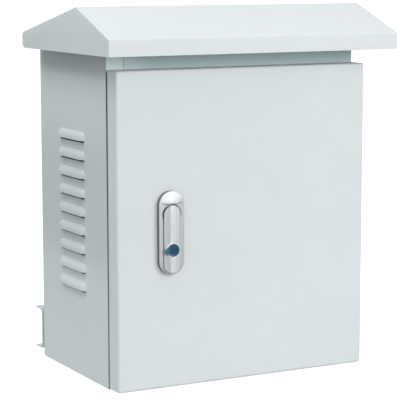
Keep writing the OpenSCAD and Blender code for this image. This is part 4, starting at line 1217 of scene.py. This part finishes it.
def rounded_ring(
    half_width: float, low: float, high: float, radius: float, steps: int = 8, least: float = 0.02
) -> Array:
    """Closed rectangle with rounded corners, anticlockwise from its upper right one.

    Args:
        half_width: Half of its width, about x = 0.
        low: Its lower edge.
        high: Its upper edge.
        radius: Radius of the corners.
        steps: Chords in each corner.
        least: The smallest radius made.
    Returns:
        Points (x, z), one a row.
    """
    r = max(radius, least)
    x, top, bottom = half_width - r, high - r, low + r
    corners = [(x, top, 0), (-x, top, 90), (-x, bottom, 180), (x, bottom, 270)]
    return np.concatenate([arc((cx, cz), r, a, a + 90, steps) for cx, cz, a in corners])


@dataclass
class DoorPan:
    """Welded pan: rings of rounded rectangles run from its inside face over the return's edge
    and round to the outside face."""

    sheet: float = 1.5
    edge: float = 3.5
    corner: float = 3.5
    least: float = 0.4
    straight: float = 8.0
    land: float = 1.2
    steps: int = 8

    def skin(self, back: float, front: float, inner: float) -> tuple[Array, Array]:
        """Profile of one side of the sheet, from the return's edge to the flat face.

        Round the front edge y = y0 + t + R - R sin a and d = t + R (1 - cos a), where t is 0
        outside and the sheet's thickness inside.

        Args:
            back: Depth of the return's edge.
            front: Depth y0 of the outer face.
            inner: The distance t under the outer face.
        Returns:
            Depth y and inset d of each ring.
        """
        a = np.radians(np.linspace(0, 90, self.steps))
        r = self.edge - inner
        y = np.r_[back, back - self.straight, front + inner + r * (1 - np.sin(a)), front + inner]
        return y, np.r_[inner, inner, inner + r * (1 - np.cos(a)), self.edge + self.land]

    def build(self) -> bpy.types.Object:
        """Builds the pan. Ring k lies at depth y_k with its outline moved in by d_k.

        Returns:
            The finished object.
        """
        low, high = box_mm("door")
        inside, outside = (self.skin(high[1], low[1], inner) for inner in (self.sheet, 0.0))
        depths, insets = (np.r_[back[::-1], front] for back, front in zip(inside, outside))
        rings = []
        for y, d in zip(depths, insets):
            radius = max(self.corner - d, self.least)
            rings.append(ring_at(rounded_ring(high[0] - d, low[2] + d, high[2] - d, radius), y))
        points = np.stack(rings)
        draft = Draft().grid(points, wrap=True).polygon(points[0]).polygon(points[-1])
        pan = draft.mesh("door_pan")
        smooth(pan, angle=40.0)
        return dress(pan, Finish.DOOR, "door", "door")


@dataclass
class DoorSeal:
    """Foam seal: a crowned D section carried round the door's inside."""

    width: float = 12.0
    round_over: float = 2.4
    corner: float = 6.0
    land: float = 1.0
    steps: int = 6

    def build(self) -> bpy.types.Object:
        """Builds the seal. The section's half width is w and its tip is rounded by R, so the ring
        at angle a has width w - R + R cos a and height t - R + R sin a.

        Returns:
            The finished object.
        """
        low, high = box_mm("door_seal")
        half, r = self.width / 2, self.round_over
        a = np.radians(np.linspace(0, 90, self.steps))
        off = np.r_[half, half - r + r * np.cos(a), half - r - self.land]
        top = np.r_[low[1], high[1] - r + r * np.sin(a), high[1]]
        off, top = np.r_[off, -off[::-1]], np.r_[top, top[::-1]]
        x, bottom, above = high[0] - half, low[2] + half, high[2] - half
        rings = [
            ring_at(rounded_ring(x + w, bottom - w, above + w, self.corner + w), y)
            for w, y in zip(off, top)
        ]
        points = np.stack([*rings, rings[0]])
        seal = Draft().grid(points, wrap=True).mesh("door_foam_seal")
        smooth(seal, angle=50.0)
        return dress(seal, Finish.FOAM, "door", "door_seal")


# ---------------------------------------------------------------- lock


@dataclass
class DustCap:
    """Blue cap: two joined discs with a rolled edge and a shallow dished face. `rings` pairs the
    share of the outline with the share of the thickness, from the back over the edge to the middle.
    """

    radius: float = 9.0
    lobe: float = 5.4
    offset: float = 7.4
    drop: float = 1.3
    join: float = 1.2
    least: float = 0.05
    rings: tuple[Span, ...] = (
        (0.94, 0.0), (0.985, 0.04), (1.0, 0.16), (1.0, 0.62), (0.985, 0.86), (0.95, 0.98),
        (0.88, 1.0), (0.82, 0.97), (0.76, 0.86), (0.70, 0.84), (0.4, 0.88), (0.02, 0.90),
    )

    def outline(self, count: int = 96) -> Array:
        """Edge of the joined discs: the farther of two circles met by a ray from the middle,
        with a smooth maximum of width `join` between them.

        Args:
            count: Points round the edge.
        Returns:
            Points in the cap's own plane.
        """
        a = np.linspace(0, 2 * math.pi, count, endpoint=False)
        ray = np.column_stack([np.cos(a), np.sin(a)])
        c = np.array([-self.offset, -self.drop])
        along = ray @ c
        under = self.lobe**2 - (c @ c) + along**2
        reach = np.where(under > 0, along + np.sqrt(np.maximum(under, 0)), 0)
        k = self.join
        h = np.clip(0.5 + 0.5 * (reach - self.radius) / k, 0, 1)
        dist = self.radius + (reach - self.radius) * h + k * h * (1 - h) * 0.5
        return ray * np.minimum(dist, np.maximum(reach, self.radius) + self.least)[:, None]

    def build(self) -> bpy.types.Object:
        """Builds the cap from scaled outlines: an eased rim, a raised bead and a dished middle.

        Returns:
            The finished object.
        """
        low, high = box_mm("dust_cap")
        edge = self.outline()
        scale, level = np.array(self.rings).T[:, :, None]
        x = high[0] - self.radius + edge[:, 0] * scale
        z = high[2] - self.radius + edge[:, 1] * scale
        y = np.broadcast_to(high[1] - (high[1] - low[1]) * level, x.shape)
        points = np.stack([x, y, z], -1)
        draft = Draft().grid(points, wrap=True).polygon(points[0]).polygon(points[-1])
        cap = draft.mesh("blue_dust_cap")
        smooth(cap, angle=40.0)
        return dress(cap, Finish.BLUE, "dust_cap", "dust_cap")


# ---------------------------------------------------------------- pieces refined from the frame


def place_points(work: bmesh.types.BMesh, points: Array) -> None:
    """Gives all the points of a mesh that is being worked on new places.

    Args:
        work: The mesh.
        points: The places in metres, one a row.
    """
    data = bpy.data.meshes.new("moved")
    work.to_mesh(data)
    data.vertices.foreach_set("co", points.ravel())
    work.clear()
    work.from_mesh(data)
    bpy.data.meshes.remove(data)


@dataclass(frozen=True)
class Refined:
    """A frame node remade with clean faces, eased edges and its finish. Points within `weld`
    millimetres merge, and faces within `flat` degrees become one."""

    node: str
    finish: Finish
    ease: float = 0.3
    angle: float = 30.0
    weld: float = 0.002
    flat: float = 0.6

    def reshape(self, work: bmesh.types.BMesh) -> None:
        """Leaves the shape as the frame has it."""

    def build(self) -> bpy.types.Object:
        """Copies the node's mesh, merges it, joins its flat facets and eases its edges.

        Returns:
            The finished object.
        """
        data = frame["nodes"][self.node].data.copy()
        work = bmesh.new()
        work.from_mesh(data)
        bmesh.ops.remove_doubles(work, verts=work.verts, dist=self.weld / MM)
        self.reshape(work)
        flat = math.radians(self.flat)
        bmesh.ops.dissolve_limit(work, angle_limit=flat, verts=work.verts, edges=work.edges)
        work.to_mesh(data)
        work.free()
        piece = bpy.data.objects.new(self.node + "_finished", data)
        bpy.context.scene.collection.objects.link(piece)
        smooth(piece, self.angle)
        eased(piece, self.ease, angle=self.angle)
        bodies = frame["record"]["behaviour"]["bodies"].items()
        body = next(name for name, nodes in bodies if self.node in nodes)
        return dress(piece, self.finish, body, self.node)


@dataclass(frozen=True)
class Handle(Refined):
    """The lock's handle: the frame's, with its round crown ground into flats along its length.
    `flats` are (distance from the middle, height over the door) of the flats' edges."""

    half_width: float = 13.0
    crown: float = 1.8
    top: float = 11.3
    near: float = 0.04
    flats: tuple[Span, ...] = ((0.0, 11.22), (3.9, 11.22), (9.4, 10.48), (13.0, 9.5))

    def reshape(self, work: bmesh.types.BMesh) -> None:
        """Cuts the crown along the flats' edges and moves its points to the flats.

        A crown of half width w and rise c is an arc of radius R = (w^2 + c^2) / 2c; points that
        lie on h = top - R + sqrt(R^2 - x^2) go to the height that the flats have at |x|.

        Args:
            work: The handle's mesh in metres.
        """
        middle = box_mm(self.node)[1][0] - self.half_width
        xs, hs = np.array(self.flats).T
        for edge in np.r_[-xs[-2:0:-1], xs[1:-1]]:
            geometry = [*work.verts, *work.edges, *work.faces]
            cut = {"plane_co": (float(middle + edge) / MM, 0.0, 0.0), "plane_no": (1.0, 0.0, 0.0)}
            bmesh.ops.bisect_plane(work, geom=geometry, dist=TINY, **cut)
        points = np.array([v.co for v in work.verts]) * MM
        x, height = np.abs(points[:, 0] - middle), DOOR_FACE - points[:, 1]
        radius = (self.half_width**2 + self.crown**2) / (2 * self.crown)
        arched = self.top - radius + np.sqrt(np.maximum(radius**2 - x**2, 0))
        moved = np.where(np.abs(height - arched) < self.near, np.interp(x, xs, hs), height)
        points[:, 1] = DOOR_FACE - moved
        place_points(work, points / MM)


@dataclass(frozen=True)
class Crown:
    """Crown of the base's round end: a ball whose middle lies `deep` under the door's face."""

    ball: float = 161.2
    deep: float = 152.96

    def height(self, out: Array) -> Array:
        """Height sqrt(R^2 - r^2) - d at the distances r from the round end's middle."""
        return np.sqrt(self.ball**2 - out**2) - self.deep


@dataclass(frozen=True)
class LockBase(Refined):
    """The lock's base: the frame's, with the small boss at its top pressed flat under the swell.
    The boss lies `down` from the top, within `radius`, and stands over `rim`."""

    down: float = 8.9
    radius: float = 10.2
    rim: float = 7.0
    under: float = 0.05
    round_end: Crown = Crown()

    def reshape(self, work: bmesh.types.BMesh) -> None:
        """Moves the boss's points down to the crown of the base's round end.

        Args:
            work: The base's mesh in metres.
        """
        low, high = box_mm(self.node)
        points = np.array([v.co for v in work.verts]) * MM
        x, z = points[:, 0] - (low[0] + high[0]) / 2, points[:, 2] - high[2]
        height = DOOR_FACE - points[:, 1]
        over = (np.hypot(x, z + self.down) < self.radius) & (height > self.rim)
        out = np.hypot(x, np.maximum(z + (high[0] - low[0]) / 2, 0))
        pressed = np.minimum(height, self.round_end.height(out) - self.under)
        points[:, 1] = np.where(over, DOOR_FACE - pressed, points[:, 1])
        place_points(work, points / MM)


@dataclass
class LockDome:
    """Broad swell at the top of the lock's base, cut by the pocket of the handle's head. It stays
    above the path of the turned handle."""

    half_width: float = 16.0
    above: float = 15.2
    below: float = 4.2
    rise: float = 3.1
    fall: float = 1.8
    down: float = 16.0
    rotor_down: float = 32.7
    pocket: float = 14.45
    face: float = 7.6
    proud: float = 0.04
    sunk: float = 4.0
    edge: float = 0.2
    rays: int = 96
    rings: int = 16
    crowding: float = 0.8
    round_end: Crown = Crown()

    def reach(self, ray: Array, lock_r: float) -> Array:
        """Length of each ray: to the swell's own ellipse, the base's round end or the pocket.

        A ray of direction u meets a circle of radius R about c at u.c -+ sqrt(R^2 - c^2 + (u.c)^2).

        Args:
            ray: Unit directions (x, z).
            lock_r: Radius of the base's round end.
        Returns:
            Lengths in millimetres.
        """
        tall = np.where(ray[:, 1] > 0, self.above, self.below)
        length = 1 / np.hypot(ray[:, 0] / self.half_width, ray[:, 1] / tall)
        round_end = (lock_r - self.down, lock_r - self.edge, 1)
        pocket = (self.rotor_down - self.down, self.pocket, -1)
        for down, radius, way in (round_end, pocket):
            along = -ray[:, 1] * down
            inside = radius**2 - down**2 + along**2
            met = along + way * np.sqrt(np.maximum(inside, 0))
            hit = (inside > 0) & (along > 0) | (way > 0)
            length = np.where(hit, np.minimum(length, met), length)
        return length

    def build(self) -> bpy.types.Object:
        """Builds the swell in rings s = 0 to 1 of each ray. Its height over the base's crown is
        rise (1 - e)^fall, with e = (x / a)^2 + (z / b)^2, where b is greater above the crest than
        below it; a last ring goes down into the base.

        Returns:
            The finished object.
        """
        low, high = box_mm("lock_base")
        lock_r = (high[0] - low[0]) / 2
        a = np.linspace(0, 2 * math.pi, self.rays, endpoint=False)
        ray = np.column_stack([np.cos(a), np.sin(a)])
        s = np.r_[np.linspace(0, 1, self.rings) ** self.crowding, 1.0]
        x, z = np.moveaxis(s[:, None, None] * (ray * self.reach(ray, lock_r)[:, None])[None], -1, 0)
        e = (x / self.half_width) ** 2 + (z / np.where(z > 0, self.above, self.below)) ** 2
        out = np.hypot(x, np.maximum(z + lock_r - self.down, 0))
        crown = np.minimum(self.round_end.height(out), self.face)
        height = crown + self.proud + self.rise * np.maximum(1 - e, 0) ** self.fall
        height[-1] = self.sunk
        points = np.stack([low[0] + lock_r + x, DOOR_FACE - height, high[2] - self.down + z], -1)
        dome = Draft().grid(points, wrap=True).polygon(points[-1]).mesh("lock_base_swell")
        smooth(dome, angle=40.0)
        return dress(dome, Finish.CHROME, "door")


def refined(finish: Finish, **eases: float) -> list[Refined]:
    """Frame nodes of one finish, each with the width of its eased edges in millimetres."""
    return [Refined(node, finish, ease) for node, ease in eases.items()]


REFINED = [
    *refined(
        Finish.CABINET,
        top_panel=0.25, bottom_panel=0.2, gland_plate=0.25, lower_rail=0.35, upper_rail=0.35,
    ),
    *refined(
        Finish.GALVANISED,
        hood_saddle_left=0.25, hood_saddle_right=0.25, mounting_plate=0.25, lock_clamp=0.25,
    ),
    *refined(
        Finish.FASTENER,
        hood_bolts=0.3, hood_nuts=0.3, plate_studs=0.3, plate_washers=0.2, plate_nuts=0.4,
        rail_bolts=0.5, rail_nuts=0.4, gland_bolts=0.2, gland_nuts=0.2, body_earth_stud=0.4,
        body_earth_nut=0.3, hinge_leaf_screws=0.15, hinge_leaf_nuts=0.2, door_weld_studs=0.3,
        hinge_stud_nuts=0.3, door_earth_nut=0.3, lock_clamp_screws=0.2, cylinder_nut=0.3,
        plug_cam_screw=0.2, rotor_clip=0.15, cam_washer=0.2, cam_screw=0.2, handle_cross_pin=0.2,
        lower_hinge_pin=0.4, upper_hinge_pin=0.4,
    ),
    *refined(
        Finish.HINGE,
        lower_hinge_body_leaf=0.25, upper_hinge_body_leaf=0.25,
        lower_hinge_door_leaf=0.25, upper_hinge_door_leaf=0.25,
    ),
    LockBase("lock_base", Finish.CHROME, 0.9),
    Handle("handle", Finish.HANDLE, 0.25, 6.0),
    *refined(Finish.CHROME, cylinder_housing=0.2, key_plug=0.15),
    *refined(Finish.LOCK_STEEL, rotor=0.3, latch_cam=0.4, plug_cam=0.25),
    *refined(Finish.BLUE, dust_cap_pin=0.1),
    *refined(
        Finish.RUBBER,
        cable_grommet_left=0.3, cable_grommet_middle=0.3, cable_grommet_right=0.3,
        rail_spacers=0.3, lock_seal=0.2,
    ),
    *refined(Finish.FOAM, gland_seal=0.2),
]


# ---------------------------------------------------------------- studio


@dataclass
class Studio:
    """Pale floor, soft lights and the camera. Lamps are (name, place in metres, side in metres,
    watts)."""

    azimuth: float = -27.935
    elevation: float = 8.1241
    roll: float = -0.0752
    distance: float = 2.343751
    target: tuple[float, float, float] = (-0.054434, -0.118, 0.258431)
    lens_mm: float = 148.1464
    sensor_mm: float = 36.0
    far: float = 50.0
    sky: float = 0.79
    low_left: float = 1.95
    left_tint: Colour = (0.86, 1.0, 1.0)
    tent: float = 0.8
    bounce: float = 0.3
    near_glow: float = 0.258
    near_radius: float = 1.1
    floor_glow: float = 0.8
    floor_half: float = 40000.0
    lit: tuple[float, float, float] = (0.0, 0.0, 0.25)
    lamps: tuple[tuple[str, tuple[float, float, float], float, float], ...] = (
        ("right key", (1.0, -2.4, 1.5), 1.2, 19.5),
        ("front box", (-0.3, -2.6, 0.85), 0.75, 17.4),
        ("right box", (1.4, -2.2, 0.75), 0.75, 7.9),
        ("high left box", (-1.4, 0.2, 2.4), 1.0, 20.6),
    )

    def camera(self) -> None:
        """Places the camera: it looks along (-sin az cos el, cos az cos el, -sin el)."""
        az, el, roll = (math.radians(v) for v in (self.azimuth, self.elevation, self.roll))
        ahead = np.array([-math.sin(az) * math.cos(el), math.cos(az) * math.cos(el), -math.sin(el)])
        level = np.array([math.cos(az), math.sin(az), 0.0])
        upright = np.cross(level, ahead)
        right = math.cos(roll) * level + math.sin(roll) * upright
        up = math.cos(roll) * upright - math.sin(roll) * level
        lens = bpy.data.cameras.new("camera")
        lens.sensor_fit, lens.sensor_width, lens.lens = "HORIZONTAL", self.sensor_mm, self.lens_mm
        lens.clip_end = self.far
        view = bpy.data.objects.new("camera", lens)
        turn = Matrix(np.column_stack([right, up, -ahead]).tolist()).to_4x4()
        view.matrix_world = Matrix.Translation(np.array(self.target) - ahead * self.distance) @ turn
        bpy.context.scene.collection.objects.link(view)
        bpy.context.scene.camera = view

    def lamp(self, name: str, place: Sequence[float], size: float, power: float) -> None:
        """Adds a square soft light that faces the cabinet.

        Args:
            name: Lamp name.
            place: Where it stands, in metres.
            size: Side of the light in metres.
            power: Watts.
        """
        light = bpy.data.lights.new(name, "AREA")
        light.size, light.energy = size, power
        lamp = bpy.data.objects.new(name, light)
        ahead = np.array(self.lit) - np.array(place)
        ahead /= np.linalg.norm(ahead)
        side = np.cross(ahead, [0.0, 0.001, 1.0])
        side /= np.linalg.norm(side)
        turn = Matrix(np.column_stack([side, np.cross(side, ahead), -ahead]).tolist()).to_4x4()
        lamp.matrix_world = Matrix.Translation(place) @ turn
        bpy.context.scene.collection.objects.link(lamp)

    def floor(self) -> None:
        """Lays a pale floor. It looks nearly white; what it throws on the cabinet is dull, with
        a soft pool of light round the cabinet's foot that fades to nothing at `near_radius`."""
        half = self.floor_half
        corners = np.array([[-half, -half, 0], [half, -half, 0], [half, half, 0], [-half, half, 0]])
        ground = Draft().polygon(corners).mesh("floor")
        n = Nodes("pale floor")
        shown = n.add(
            "ShaderNodeBsdfPrincipled",
            {},
            {
                "Base Color": n.blend(n.noise(1.4, 2.0), (0.60, 0.60, 0.60), (0.62, 0.62, 0.62)),
                "Roughness": 0.9,
                "Emission Color": WHITE,
                "Emission Strength": self.floor_glow,
            },
            "BSDF",
        )
        away = (n.axis("X") ** 2.0 + n.axis("Y") ** 2.0).step(0.0, self.near_radius**2)
        thrown = n.add(
            "ShaderNodeBsdfPrincipled",
            {},
            {
                "Base Color": (*[self.bounce] * 3, 1.0),
                "Roughness": 1.0,
                "Specular IOR Level": 0.0,
                "Emission Color": n.blend(away, [self.near_glow] * 3, (0.0, 0.0, 0.0)),
                "Emission Strength": 1.0,
            },
            "BSDF",
        )
        seen = n.add("ShaderNodeLightPath", {}, {}, "Is Camera Ray")
        n.add_output(n.add("ShaderNodeMixShader", {}, {0: seen, 1: thrown, 2: shown}))
        ground.data.materials.append(n.material)

    def world(self) -> None:
        """Sets a white surround that lights the cabinet from above and from low on the left.

        The light that arrives from direction d is sky max(dz, 0) + low_left max(-dx, 0) (1 - dz)^4.
        What is seen directly is plain white, and gloss mirrors an even white tent.
        """
        world = bpy.data.worlds.new("surround")
        world.use_nodes = True
        n = Nodes("surround maths", world.node_tree)
        ray = n.add("ShaderNodeTexCoord", {}, {}, "Generated")
        x, z = (n.add("ShaderNodeSeparateXYZ", {}, {0: ray}, axis) for axis in "XZ")
        above, from_left, low = (v.clamp(0.0, 9.0) for v in (z, 0.0 - x, 1.0 - z))
        overhead, side = above * self.sky, from_left * low**4.0 * self.low_left
        tint = n.blend(side / (overhead + side + 1e-6), WHITE, self.left_tint)
        backgrounds = ((tint, overhead + side), (WHITE, self.tent), (WHITE, 1.0))
        lit, tent, plain = (
            n.add("ShaderNodeBackground", {}, {"Color": colour, "Strength": strength})
            for colour, strength in backgrounds
        )
        gloss, seen = (
            n.add("ShaderNodeLightPath", {}, {}, kind) for kind in ("Is Glossy Ray", "Is Camera Ray")
        )
        lit = n.add("ShaderNodeMixShader", {}, {0: gloss, 1: lit, 2: tent})
        sky = n.add("ShaderNodeMixShader", {}, {0: seen, 1: lit, 2: plain})
        out = n.nodes.new("ShaderNodeOutputWorld")
        n.links.new(sky.socket, out.inputs["Surface"])
        bpy.context.scene.world = world

    def build(self) -> None:
        """Builds the studio."""
        bpy.context.scene.view_settings.view_transform = "Standard"
        self.camera()
        self.world()
        self.floor()
        for lamp in self.lamps:
            self.lamp(*lamp)


def main() -> None:
    """Builds the studio and the cabinet."""
    logging.basicConfig(level=logging.INFO, format="%(name)s: %(message)s")
    Studio().build()
    for part in (CabinetShell(), RainHood(), DoorPan(), DoorSeal(), DustCap(), LockDome(), *REFINED):
        part.build()


if __name__ == "__main__":
    main()
